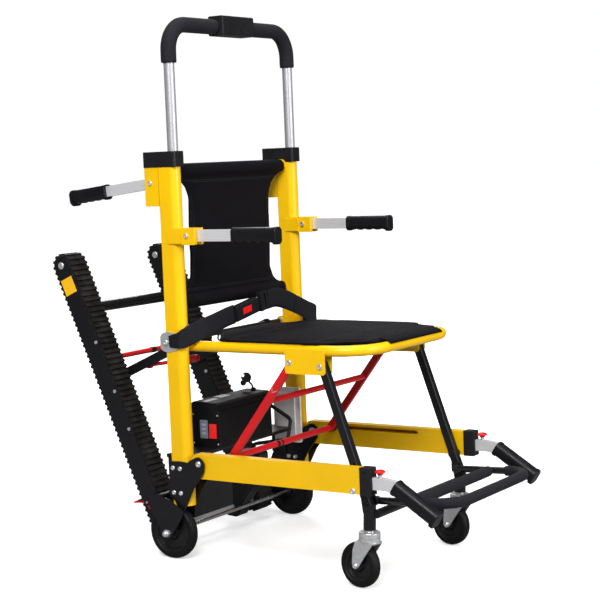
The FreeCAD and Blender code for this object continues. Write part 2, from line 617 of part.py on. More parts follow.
def front_handles():
    # flat bars out of the rails, bent down to the grips
    mid_z, knob_y = 217.0, -508.0
    outline = [(-335, mid_z - 13), (-335, mid_z + 13), (-522, mid_z + 13), (-548, mid_z + 9.5),
               (-640, mid_z - 49), (-626, mid_z - 71), (-541, mid_z - 16.5), (-522, mid_z - 13)]
    (bend_y, bend_z), (tip_y, tip_z) = outline[3:5]
    slope = math.degrees(math.atan2(bend_z - tip_z, bend_y - tip_y))
    # knob cap, (radius, z)
    knob_profile = [(0, 19), (5, 19), (7.5, 23), (11.5, 24.5), (11.5, 26.5), (8, 29.5),
                    (0, 30.3)]
    for side, name in SIDES:
        bar = plate_x(outline, -BAR_HALF_T, BAR_HALF_T, [1, 1, 14, 14, 1, 1, 20, 20])
        bar = bar.cut(cyl_z(0, knob_y, mid_z, mid_z + 40, 3.1))
        handle = grip(116, 30, 34, 26)
        handle.rotate(V(0, 0, 0), V(0, 0, 1), 180)
        handle.rotate(V(0, 0, 0), V(1, 0, 0), slope)
        handle.translate(V(0, -544.5, mid_z - 3.3))
        handle = handle.cut(bar)
        for shape in (bar, handle):
            shape.translate(V(side * HALF_SPAN, 0, 0))
        add("front_handle_" + name, bar, handle)

        x = side * HALF_SPAN
        stem = cyl_z(x, knob_y, mid_z + 4, mid_z + 21, 3.0)
        stem = stem.fuse(cyl_z(x, knob_y, mid_z + 13.2, mid_z + 19.2, 4.5))
        knob = revolve([(r, mid_z + z) for r, z in knob_profile], V(0, 0, 1))
        knob.translate(V(x, knob_y, 0))
        add("front_knob_" + name, stem.fuse(knob).removeSplitter())


# ---------------------------------------------------------------- legs and footrest
def leg():
    # slanted leg bar running into the upright caster stem
    along, across = directions(LEG_TOP, LEG_LOW)
    half = LEG_W / 2
    stem_top = to_frame(STEM_Y, STEM_Z1)
    top = shift(LEG_TOP, along, -11)
    knee = shift(LEG_LOW, along, 22)
    outline = [shift(top, across, -half), shift(top, across, half), shift(knee, across, half),
               (stem_top[0] + 12.5, stem_top[1] - 6), (stem_top[0] - 12.5, stem_top[1] + 2),
               shift(knee, across, -half)]
    bar = plate_x(outline, LEG_X - half, LEG_X + half, [7, 7, 10, 2, 2, 14])
    bar = fillet(bar, 2.5, lambda e: e.Length > 150)
    bar = bar.cut(cyl_x(-260, -180, *LEG_TOP, 4.06)).cut(cyl_x(-260, -180, *LEG_LOW, 7.7))

    upper = V(LEG_X, *stem_top)
    lower = V(LEG_X, *to_frame(STEM_Y, STEM_Z0))
    length = (lower - upper).Length
    down = (lower - upper).normalize()
    stem = cylinder(upper - down * 14, down, STEM_R, length + 14)
    stem = stem.cut(cylinder(lower, down * -1, 5.56, 40))
    return bar.fuse(stem).removeSplitter()

def leg_frame():
    right = leg()
    cross = cyl_x(LEG_X, -LEG_X, -478.5, 144.0, 9.5)
    cross = cross.cut(cyl_x(LEG_X + 14, -LEG_X - 14, -478.5, 144.0, 8.0))
    lug = plate_x([(-447, 158), (-447, 182), (-470, 182), (-476, 168), (-470, 158)],
                  LEG_X + 7, LEG_X + 14.4, [3, 3, 8, 8, 8])
    lug = lug.cut(cyl_x(-260, -180, *FOOT_PIVOT, 3.1))
    frame = right.fuse(mirror(right)).fuse(cross).fuse(lug).fuse(mirror(lug))
    add("leg_frame", frame.removeSplitter())
    add("leg_frame", *both(bolt(LEG_X + 9.7, LEG_X + 31.5, *FOOT_PIVOT, 3.0, 5.5, 3.2)))

def foot_z(y):
    # height of the footrest, rising from its pivot to the front
    rise = (FOOT_FRONT_Z - FOOT_PIVOT[1]) / (FOOT_PIVOT[0] - FOOT_FRONT)
    return FOOT_PIVOT[1] + (FOOT_PIVOT[0] - y) * rise

def footrest():
    def loop(rear_y, r):
        path = [(x, y, foot_z(y)) for x, y in
                ((-FOOT_X, rear_y), (-FOOT_X, FOOT_FRONT), (FOOT_X, FOOT_FRONT),
                 (FOOT_X, rear_y))]
        return sweep(path, FOOT_BEND, r)
    bar_axis = (FOOT_BAR_Y, foot_z(FOOT_BAR_Y))
    rear_y, bore_r = FOOT_PIVOT[0] + 6, FOOT_R - 1.6
    bore = loop(rear_y, bore_r)
    frame = loop(rear_y, FOOT_R).cut(bore)
    eye = cyl_x(LEG_X + 14.6, LEG_X + 28.8, *FOOT_PIVOT, 9.0)
    bar = cyl_x(-FOOT_X, FOOT_X, *bar_axis, FOOT_R)
    bar = bar.cut(cyl_x(-FOOT_X, FOOT_X, *bar_axis, bore_r))
    frame = frame.fuse(bar).cut(bore).fuse(eye).fuse(mirror(eye))
    frame = frame.cut(cyl_x(-240, 240, *FOOT_PIVOT, 3.06)).removeSplitter()
    add("footrest_frame", frame)

    # foam on the front of the loop and on the cross bar
    foam_bore, bar_foam_r = FOOT_R + 0.05, 12.5
    front = loop(-590, 12.0).cut(loop(-580, foam_bore))
    middle = cyl_x(-FOOT_X + 10.5, FOOT_X - 10.5, *bar_axis, bar_foam_r)
    middle = middle.cut(cyl_x(-200, 200, *bar_axis, foam_bore))
    middle = fillet(middle, 2.0, lambda e: abs(e.Length - 2 * math.pi * bar_foam_r) < 0.5)
    add("footrest_foam", front, middle)

def fold_brace():
    along, across = directions(BRACE_TOP, BRACE_ROLLER)
    top = shift(BRACE_TOP, along, -11)
    bottom = shift(BRACE_ROLLER, along, 10)
    outline = [shift(top, across, 9.0), shift(top, across, -9.0),
               shift(bottom, across, -9.0), shift(bottom, across, 9.0)]
    arm = plate_x(outline, LEG_X - 5.5, LEG_X + 5.5, 8.5)
    arm = fillet(arm, 1.5, lambda e: e.Length > 200)
    arm = arm.cut(cyl_x(-260, -180, *BRACE_TOP, 4.06))
    upper_bar = cyl_x(LEG_X + 2, -LEG_X - 2, *shift(BRACE_TOP, along, 116), 7.0)
    lower_bar = cyl_x(LEG_X + 2, -LEG_X - 2, *BRACE_ROLLER, 7.5)
    add("fold_brace", arm.fuse(mirror(arm)).fuse(upper_bar).fuse(lower_bar).removeSplitter())
    end_x = LEG_X - 14.5
    roller = cyl_x(LEG_X - 5.6, end_x, *BRACE_ROLLER, 11.0)
    roller = fillet(roller, 2.0, lambda e: abs(e.BoundBox.Center.x - end_x) < 1e-3
                    and e.Length > 10)
    add("fold_brace", *both(roller))

def lower_brackets():
    # plates on both faces of each post, reaching forward to the rail pivot
    outline = [(39, 150), (39, 229), (8, 231), (-14, 229), (-24, 236), (-46, 246), (-64, 232),
               (-58, 208), (-30, 172), (-6, 128), (4, 113), (14, 118), (26, 140)]
    radii = [3, 5, 4, 6, 8, 15, 16, 12, 20, 8, 6, 4, 5]
    far = POST_SEAT + 3
    for side in (-1, 1):
        plate = plate_x(outline, POST_X + side * POST_SEAT, POST_X + side * far, radii)
        for hole in BRACKET_BOLTS:
            plate = plate.cut(cyl_x(-300, -200, *hole, 3.15))
        add("lower_brackets", *both(plate.cut(cyl_x(-300, -200, *RAIL_PIVOT, 4.1))))
    half_grip = far + 0.1
    for hole in BRACKET_BOLTS:
        add("frame_bolts", *bolt_and_nut(POST_X, half_grip, hole, 3.0, 5.5, 2.8, 5.0, 4))
    add("frame_bolts", *bolt_and_nut(POST_X, half_grip, RAIL_PIVOT, 4.0, 7.0, 3.6, 6.5, 5))
    gap_in = RAIL_W / 2 + 0.1
    add("frame_bolts", *both(
        ring_x(POST_X - POST_R, POST_X - gap_in, *RAIL_PIVOT, 9.0, 4.05),
        ring_x(POST_X + gap_in, POST_X + POST_R, *RAIL_PIVOT, 9.0, 4.05)))


# ---------------------------------------------------------------- rear wheels (floor)
def rear_forks():
    def plate(front_edge, x0, x1):
        outline = ([(98, 137), (68, 146)] + front_edge
                   + [(31, 60), (45, 48.5), (59, 60), (101, 124)])
        solid = plate_x(outline, x0, x1, [4, 8, 8, 8, 8, 12, 13, 12, 5])
        return solid.cut(cyl_x(-300, -100, *REAR_AXIS, AXLE_R + 0.06))
    outer = plate([(40, 141), (1, 118), (4, 104)], -266.0, -262.5)
    inner = plate([(42, 141), (42, 120), (22, 96)], -220.0, -216.5)
    top = plate_x([(58, 146.0), (60, 150.5), (70, 150.5), (131, 128.5), (130, 125.0),
                   (98, 136.0), (68, 145.5)], -266.0, -216.5)
    top = top.cut(box(-258, -232, 108, 140, 110, 150))
    fork = outer.fuse(inner).fuse(top).removeSplitter()
    for x in (-262.5, -223.5):      # lugs that carry the brake pedal pin
        lug = plate_x([(98, 118), (98, 137), (118, 131), (114, 117)], x, x + 3.5, [2, 2, 4, 4])
        fork = fork.fuse(lug.cut(cyl_x(-300, -200, *PEDAL_PIN, PEDAL_PIN_R + 0.06)))
    fork = fork.fuse(cyl_x(-262.6, -255.2, 15.0, 120.5, 4.0))
    add_floor("rear_wheel_forks", *both(fork.removeSplitter()))

def brake_pedals():
    add_floor("rear_axle", *both(cyl_x(-263.5, -219.0, *PEDAL_PIN, PEDAL_PIN_R)))
    outline = [(101, 124), (108, 131.5), (126, 127.0), (150, 120.5), (152, 116), (127, 120),
               (112, 117.0), (107, 108.5), (99.5, 111.0)]
    pedal = plate_x(outline, -256.0, -232.0, [3, 4, 6, 2, 2, 6, 4, 1.5, 1.5])
    pedal = pedal.cut(cyl_x(-300, -200, *PEDAL_PIN, PEDAL_PIN_R + 0.06))
    pedal = pedal.cut(box(-252, -236, 100, 116, 119.5, 140))
    pedal = pedal.cut(box(-252, -236, 100, 118, 116.5, 121)).removeSplitter()
    add_floor("brake_pedal_right", pedal)
    add_floor("brake_pedal_left", mirror(pedal))

def tyre_profile(radius, width, inner):
    # (axial, radius)
    h = width / 2
    left = [(-h * 0.80, inner), (-h, inner + 3), (-h, radius - 8), (-h * 0.93, radius - 4.5),
            (-h * 0.76, radius - 1.8), (-h * 0.45, radius - 0.5), (-h * 0.2, radius - 0.1)]
    return symmetric(left, [(0, radius)])

def hub_profile(radius, width, boss_r, bore_r):
    # (axial, radius)
    h = width / 2
    return symmetric([(-h * 0.80, radius), (-h * 0.80, radius - 5), (-h * 0.42, radius - 8),
                      (-h * 0.42, boss_r + 5), (-h * 0.9, boss_r + 2), (-h * 1.08, boss_r),
                      (-h * 1.08, bore_r)])

def rear_wheels():
    for side, name in SIDES:
        for profile in (tyre_profile(REAR_R, REAR_W, 46.0),
                        hub_profile(45.95, REAR_W, 15.0, AXLE_R + 0.05)):
            add_floor("rear_wheel_" + name, revolve_x(profile, side * -REAR_X, *REAR_AXIS))

    # axle with domed hexagon nuts, and spacers beside the wheels
    add_floor("rear_axle", cyl_x(-276.5, 276.5, *REAR_AXIS, AXLE_R))
    nut_x = -272.5
    dome = Part.makeSphere(8.0, V(nut_x, *REAR_AXIS))
    dome = dome.common(cyl_x(-281, nut_x, *REAR_AXIS, 9))
    hexagon = [(REAR_Y + 9.0 * math.cos(math.radians(a)), REAR_R + 9.0 * math.sin(math.radians(a)))
               for a in range(0, 360, 60)]
    nut = plate_x(hexagon, nut_x, -266.1).fuse(dome)
    nut = nut.cut(cyl_x(-277.0, -260, *REAR_AXIS, AXLE_R + 0.02)).removeSplitter()
    add_floor("rear_axle", *both(nut))
    for x0, x1 in ((-262.4, -254.2), (-227.8, -220.1)):
        add_floor("rear_axle", *both(ring_x(x0, x1, *REAR_AXIS, 7.5, AXLE_R + 0.05)))


# ---------------------------------------------------------------- casters (floor)
def casters():
    # built with the trail along +Y at the origin, then swivelled
    axis = (CASTER_TRAIL, CASTER_R)
    for side, name in SIDES:
        head = cyl_z(0, 0, 106.5, 127, 23.0)
        head = fillet(head, 3.0, lambda e: e.BoundBox.ZMin > 126)
        head = head.cut(cyl_z(0, 0, 115, 116.2, 30).cut(cyl_z(0, 0, 115, 116.2, 21.6)))
        pin = cyl_z(0, 0, 127, 165, 5.5).fuse(cyl_z(0, 0, 127, 130.6, 11))
        crown = plate_z([(-18, -24), (18, -24), (18, 24), (-18, 24)], 103.4, 106.6, [8, 8, 5, 5])
        prong = plate_x([(-22, 104.0), (26, 104.0), (33, 84), (CASTER_TRAIL + 9.5, 50),
                         (CASTER_TRAIL, 40.5), (CASTER_TRAIL - 9.5, 50), (-6, 82)],
                        -18.0, -15.4, [3, 3, 8, 9, 9, 9, 16])
        prong = prong.cut(cyl_x(-30, 30, *axis, 4.06))
        fork = head.fuse(pin).fuse(crown).fuse(prong).fuse(mirror(prong)).removeSplitter()
        tyre = revolve_x(tyre_profile(CASTER_R, CASTER_W, 35.0), 0, *axis)
        hub = revolve_x(hub_profile(34.95, CASTER_W, 11.0, 4.05), 0, *axis)
        axle = bolt(18.1, -18.1, *axis, 4.0, 6.5, 4.2).fuse(cyl_x(18.15, 23.65, *axis, 6.5))
        for x in (-15.3, 13.1):     # spacers
            axle = axle.fuse(ring_x(x, x + 2.2, *axis, 6.5, 3.9))
        axle = axle.removeSplitter()
        for shape in (fork, hub, tyre, axle):
            shape.rotate(V(0, 0, 0), V(0, 0, 1), -CASTER_SWIVEL)
            shape.translate(V(side * -LEG_X, STEM_Y, 0))
        add_floor("caster_fork_" + name, fork, axle)
        add_floor("caster_wheel_" + name, hub, tyre)


# ---------------------------------------------------------------- tracks (floor)
# built upright at the origin (pulley centres at z 0 and TRACK_LEN), then placed
def place(shape, x):
    shape = shape.copy()
    shape.rotate(V(0, 0, 0), V(1, 0, 0), -TRACK_LEAN)
    shape.translate(V(x, *DRIVE))
    return shape

def add_tracks(name, *shapes):
    for x in (-TRACK_X, TRACK_X):
        add_floor(name, *[place(s, x) for s in shapes])

def stadium(r, z0, z1, x0, x1):
    ends = cyl_x(x0, x1, 0, z0, r).fuse(cyl_x(x0, x1, 0, z1, r))
    return ends.fuse(box(x0, x1, -r, r, z0, z1)).removeSplitter()

def track_belts():
    w = TRACK_HALF_W
    belt = stadium(BELT_OUT, 0, TRACK_LEN, -w, w)
    belt = belt.cut(stadium(BELT_IN, 0, TRACK_LEN, -w - 1, w + 1))
    turn = math.pi * BELT_OUT       # belt length round one pulley
    pitch = (2 * TRACK_LEN + 2 * turn) / LUG_COUNT
    def rear_lug(z):
        return box(-w, w, BELT_OUT - 0.4, BELT_OUT + LUG_H, z - LUG_HALF_W, z + LUG_HALF_W)
    def front_lug(z):
        return box(-w, w, -BELT_OUT - LUG_H, -BELT_OUT + 0.4, z - LUG_HALF_W, z + LUG_HALF_W)
    def turned(lug, distance):
        lug.rotate(V(0, 0, 0), V(1, 0, 0), math.degrees(distance / BELT_OUT))
        return lug
    lugs = []
    for i in range(LUG_COUNT):
        along = (i + 0.5) * pitch
        if along < TRACK_LEN:
            lug = rear_lug(along)
        elif along < TRACK_LEN + turn:
            lug = turned(rear_lug(0), along - TRACK_LEN)
            lug.translate(V(0, 0, TRACK_LEN))
        elif along < 2 * TRACK_LEN + turn:
            lug = front_lug(2 * TRACK_LEN + turn - along)
        else:
            lug = turned(front_lug(0), along - 2 * TRACK_LEN - turn)
        lugs.append(lug)
    add_tracks("track_belts", belt.fuse(lugs))

def track_beams():
    # two side plates, and a core and a narrower web between the belt runs
    w, top = TRACK_HALF_W, TRACK_LEN
    side = stadium(BELT_IN + 1.5, 4, top - 4, w + 0.3, w + 2.3)
    beam = side.fuse(mirror(side)).cut(cyl_x(-60, 60, 0, 0, SHAFT_HOLE_R))
    slot = [(-6.1, top - 10), (6.1, top - 10), (6.1, top + 10), (-6.1, top + 10)]
    beam = beam.cut(plate_x(slot, -60, 60, 6.05))
    core = box(-w + 6, w - 6, -BELT_IN + 2.5, BELT_IN - 2.5, 36, top - 40)
    web = box(-w - 0.3, w + 0.3, -8, 8, 40, top - 44)
    add_tracks("track_beams", beam.fuse(core).fuse(web).removeSplitter())

    # idler axle and the screws in the side plates
    face = w + 2.4
    head_h = 3.2
    axle = cyl_x(-face, face, 0, top, IDLER_AXLE_R)
    for sign in (-1, 1):
        head = cylinder((sign * face, 0, top), (sign, 0, 0), 8.5, head_h)
        head = chamfer(head, 1.6, lambda e: e.Length > 10
                       and abs(abs(e.BoundBox.Center.x) - (face + head_h)) < 1e-3)
        axle = axle.fuse(head)
    screws = [cylinder((sign * (w + 2.35), -17.0, z), (sign, 0, 0), 4.0, 2.4)
              for z in (250, 345, 470) for sign in (-1, 1)]
    add_tracks("track_beams", axle.removeSplitter(), *screws)

def pulleys():
    end, rim = TRACK_HALF_W - 1, BELT_IN - 0.15
    # (axial, radius)
    idler = symmetric([(-end, rim), (-end, BELT_IN - 3), (-end + 2, 14), (-end, 12),
                       (-end, IDLER_AXLE_R + 0.06)])
    add_tracks("idler_pulleys", revolve_x(idler, 0, 0, TRACK_LEN))

    sprocket = revolve_x(symmetric([(-end, rim), (-end, SHAFT_HOLE_R)]), 0, 0, 0)
    grooves = 14
    for k in range(grooves):
        groove = box(-TRACK_HALF_W, TRACK_HALF_W, -1.4, 1.4, BELT_IN - 2.5, BELT_IN + 1)
        groove.rotate(V(0, 0, 0), V(1, 0, 0), 360 * k / grooves)
        sprocket = sprocket.cut(groove)
    add_tracks("drive_sprockets", sprocket)
    add_floor("drive_sprockets", cyl_x(-216.0, 216.0, *DRIVE, DRIVE_SHAFT_R))

def track_cross_tubes():
    half = TRACK_X - TRACK_HALF_W - 2.4
    along = (549.0 - DRIVE[1]) / math.cos(math.radians(TRACK_LEAN))
    add_floor("track_cross_tubes", place(cyl_x(-half, half, 0, along, 13.0), 0))
    # thin bar through the slots of the stays
    add_floor("track_cross_tubes", cyl_x(-half, half, *to_floor(262.0, 448.0), 6.5))


# ---------------------------------------------------------------- track stays
def track_stays():
    length = 262.0
    stay = plate_x([(-12, -11), (length, -11), (length, 11), (-12, 11)],
                   -3, 3, [11, 10.5, 10.5, 11])
    stay = stay.cut(cyl_x(-10, 10, 0, 0, 6.06))
    slot = [(234, -4.2), (length - 8, -4.2), (length - 8, 4.2), (234, 4.2)]
    stay = stay.cut(plate_x(slot, -10, 10, 4.1))
    stay.rotate(V(0, 0, 0), V(1, 0, 0), math.degrees(STAY_ANGLE))
    stay.translate(V(STAY_X, *SEAT_PIVOT))
    # cross shaft that the stays hang on
    add("frame_bolts", cyl_x(SEAT_X + 12.5, -SEAT_X - 12.5, *SEAT_PIVOT, 6.0))

    # release lever on a pin in the right stay
    pivot = shift(SEAT_PIVOT, (math.cos(STAY_ANGLE), math.sin(STAY_ANGLE)), 168)
    pivot = (pivot[0], pivot[1] - 8.0)
    pin = cyl_x(STAY_X + 2.9, STAY_X + 14, *pivot, 2.5)
    add("track_stays", stay.fuse(pin).removeSplitter(), mirror(stay))
    start = V(STAY_X + 8.5, *pivot)
    tip = V(STAY_X + 8.5, 44, 449)
    direction = (tip - start).normalize()
    lever = sweep([start, tip], [], 4.5)
    knob = cylinder(tip - direction * 26, direction, 8.5, 34)
    knob = fillet(knob, 4.0, lambda e: 30 < e.Length < 60)
    hub = cyl_x(STAY_X + 3.6, STAY_X + 13, *pivot, 8.0)
    lever = lever.fuse(knob).fuse(hub).cut(cyl_x(-200, -100, *pivot, 2.56))
    add("release_lever", lever.removeSplitter())


# ---------------------------------------------------------------- power unit
KEY_X, KEY_Y = 92.0, 41.0

def battery():
    case = box(-108, 108, 0, 82, 236, 322)
    case = fillet(case, 3.0, lambda e: e.BoundBox.ZLength > 80)
    case = case.cut(box(-104, 104, 4, 78, 240, 330))
    # rocker opening and a shallow recess in the right side
    case = case.cut(box(-110, -103, 9.0, 30.6, 256.0, 292.4))
    case = case.cut(box(-110, -107.0, 34.0, 58.0, 255.0, 301.0))
    add("battery_case", case)

    lid = plate_x([(0, 322.1), (82, 322.1), (82, 338), (72, 343), (9, 341), (0, 336)],
                  -108, 108, 2.5)
    lid = lid.cut(box(-104, 104, 4, 78, 300, 334))
    recess = [(KEY_X - 11, KEY_Y - 8), (KEY_X + 11, KEY_Y - 8),
              (KEY_X + 11, KEY_Y + 8), (KEY_X - 11, KEY_Y + 8)]
    add("battery_lid", lid.cut(plate_z(recess, 341.2, 360, 3)))

    rocker = [(-104.6, 257.0), (-110.6, 257.6), (-108.6, 274.2), (-108.4, 291.4), (-104.6, 291.4)]
    add("power_rocker", plate_y(rocker, 9.4, 30.2))

    end_x = 211.7
    tray = box(-206.5, 196.0, 4, 78, 228, 235.9)
    tray = tray.fuse(box(190, end_x, 60.5, 78, 228, 235.9))
    tray = tray.fuse(box(-end_x, -200, 60.5, 78, 228, 235.9))
    tray = tray.cut(box(-204, 193, 10, 72, 226, 233.0))
    for side in (-1, 1):
        tray = tray.fuse(box(side * end_x, side * 209.2, 60.5, 74, 168, 235.9))
    add("battery_tray", tray.removeSplitter())

def battery_leads():
    # key in the lid: plug, bent shank, round head with a hole, and a second lobe
    x, y = KEY_X, KEY_Y
    plug = cyl_z(x, y, 341.25, 348.25, 6.0)
    shank = sweep([(x, y, 345.0), (x - 2, y + 3, 356), (x - 7, y + 9, 365)], [8], 2.4)
    facing = V(-0.829, -0.50, 0.25).normalize()
    head = cylinder(V(x - 10, y + 13, 374) - facing * 3, facing, 12.5, 6.0)
    head = head.cut(cylinder(V(x - 14, y + 20, 379) - facing * 10, facing, 3.4, 20))
    lobe = cylinder(V(x - 15, y + 19, 361) - facing * 2.2, facing, 7.0, 4.4)
    add("battery_leads", plug.fuse(shank).fuse(head).fuse(lobe).removeSplitter())

def cable():
    # from the left side of the battery case down to the motor
    path = [(108.2, 40, 300), (150, 40, 300), (168, -14, 262), (150, -16, 214),
            (88, 44, 209), (88, 44, 194.3)]
    add("battery_leads", sweep(path, [12, 16, 14, 8], 4.5))

def drive_motor():
    # motor under the battery, gear case on the drive shaft
    y, z = 50.0, 160.0
    motor = cyl_x(-92, 60, y, z, 32.0)
    motor = fillet(motor, 4.0, lambda e: abs(e.BoundBox.Center.x + 92) < 1e-3
                   and e.Length > 50)
    add("drive_motor", motor.fuse(cyl_x(60, 66, y, z, 34.0)).removeSplitter())
    shaft_y, shaft_z = DRIVE_FRAME
    outline = [(y - 36, z + 34), (y + 36, z + 34), (y + 36, z - 20),
               (shaft_y + 27, shaft_z + 10), (shaft_y + 20, shaft_z - 22),
               (shaft_y - 20, shaft_z - 24), (shaft_y - 30, shaft_z + 8), (y - 36, z - 26)]
    gear_case = plate_x(outline, 66.2, 104.0, [10, 10, 12, 18, 14, 14, 16, 12])
    add("drive_motor", gear_case.cut(cyl_x(60, 110, *DRIVE_FRAME, DRIVE_SHAFT_R + 0.2)))

def controller_box():
    body = plate_x([(-20, 196), (59, 196), (59, 334), (-20, 334)], 202.0, 208.5, 4)
    body = body.fuse(plate_x([(-6, 210), (46, 210), (46, 320), (-6, 320)], 197.5, 202.1, 5))
    for z in (268, 318):    # pegs out to the left post
        body = body.fuse(cyl_x(208.4, 217.9, 20, z, 5.0))
    add("controller_box", body.removeSplitter())

def motor_cover():
    cover = box(-207, -60, 6, 8.5, 92, 190).fuse(box(-207, -60, 6, 20, 190, 192.5))
    add("motor_cover", cover.fuse(box(-209.0, -206.8, 6, 56, 92, 192.5)).removeSplitter())

def drive_plates():
    # side plates that carry the drive shaft, beside the inner brackets
    y, z = DRIVE_FRAME
    plate = plate_x([(33.5, 150), (33.5, 196), (60, 196), (y + 16, z + 14),
                     (y + 12, z - 16), (y - 14, z - 16), (50, 100)],
                    -214.8, -211.8, [4, 4, 10, 12, 12, 12, 20])
    add("lower_brackets", *both(plate.cut(cyl_x(-300, 300, y, z, SHAFT_HOLE_R))))


# ---------------------------------------------------------------- build and export
for build in (main_posts, handle_blocks, post_caps, telescopic_handle, control_box,
              rear_handles, arm_brackets, armrests, backrest, seat_frame, seat_sling,
              seat_pivots, lap_belt, buckle, lower_rails, front_handles, leg_frame, footrest,
              fold_brace, lower_brackets, rear_forks, brake_pedals, rear_wheels, casters,
              track_belts, track_beams, pulleys, track_cross_tubes, track_stays, battery,
              battery_leads, drive_motor, controller_box, cable, motor_cover, drive_plates):
    build()

for name, shapes in PIECES.items():
    solids = []
    for shape in shapes:
        solids += shape.Solids or [shape]
    piece = solids[0] if len(solids) == 1 else Part.makeCompound(solids)
    piece.exportStep("parts/%s.step" % name)
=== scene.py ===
"""Stair-climbing chair: finishes, soft goods and small parts added to the CAD pieces.

The row frame is +Z up, with the chair facing -Y and its right side at -X. The chair's upper
structure is drawn in a "leaned" frame in millimetres, tipped about X; place() takes it to
the row frame in metres.
"""
import bpy
import bmesh
import json
import math
import numpy as np
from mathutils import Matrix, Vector
from mathutils.bvhtree import BVHTree

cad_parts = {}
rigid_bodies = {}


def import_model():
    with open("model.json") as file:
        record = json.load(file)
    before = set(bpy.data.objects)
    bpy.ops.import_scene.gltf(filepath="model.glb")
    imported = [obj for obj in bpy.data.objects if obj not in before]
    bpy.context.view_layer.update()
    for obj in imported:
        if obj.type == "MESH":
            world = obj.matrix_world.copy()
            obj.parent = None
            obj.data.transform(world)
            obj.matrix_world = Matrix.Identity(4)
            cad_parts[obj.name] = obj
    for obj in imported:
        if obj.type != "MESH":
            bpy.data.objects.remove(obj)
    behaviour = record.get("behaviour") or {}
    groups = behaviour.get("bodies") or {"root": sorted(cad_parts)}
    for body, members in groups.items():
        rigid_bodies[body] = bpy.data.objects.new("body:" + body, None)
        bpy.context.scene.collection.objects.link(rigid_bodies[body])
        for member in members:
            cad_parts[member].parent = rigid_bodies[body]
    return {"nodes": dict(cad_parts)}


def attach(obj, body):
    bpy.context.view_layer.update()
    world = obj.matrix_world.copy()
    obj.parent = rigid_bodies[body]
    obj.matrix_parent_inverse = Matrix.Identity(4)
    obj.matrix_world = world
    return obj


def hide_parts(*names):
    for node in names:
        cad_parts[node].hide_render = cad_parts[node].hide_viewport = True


for old in list(bpy.data.objects):
    bpy.data.objects.remove(old)
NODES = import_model()["nodes"]
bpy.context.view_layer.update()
scene = bpy.context.scene

# ------------------------------------------------------------ frames and shared places
LEAN = math.radians(2.754)
LEAN_SHIFT = -1.1                       # mm along y, applied before leaning
LEAN_COS, LEAN_SIN = math.cos(LEAN), math.sin(LEAN)
UP = Vector((0, LEAN_SIN, LEAN_COS))    # leaned +z, in the row frame
REAR = Vector((0, LEAN_COS, -LEAN_SIN))  # leaned +y, in the row frame
X = Vector((1, 0, 0))
SIDES = (("right", -1), ("left", 1))

# Centres as (y, z) in mm
REAR_AXLE = (45, 62.5)                  # row frame
SPROCKET = (104, 46)                    # row frame, lower end of the tracks
TRACK_TOP = (403, 651)                  # row frame
BRACE_TOP = (-279.0, 462.5)             # leaned frame
BRACE_FOOT = (-105.0, 239.0)            # leaned frame


def place(x, y, z):
    """Leaned millimetres to row metres."""
    y += LEAN_SHIFT
    return Vector((x, y * LEAN_COS + z * LEAN_SIN, z * LEAN_COS - y * LEAN_SIN)) / 1000.0


def to_leaned(x, y, z):
    """Row millimetres to leaned millimetres."""
    return x, y * LEAN_COS - z * LEAN_SIN - LEAN_SHIFT, z * LEAN_COS + y * LEAN_SIN


# ------------------------------------------------------------ materials
def scaled(colour, factor, lift=0):
    return tuple(x * factor + lift for x in colour)


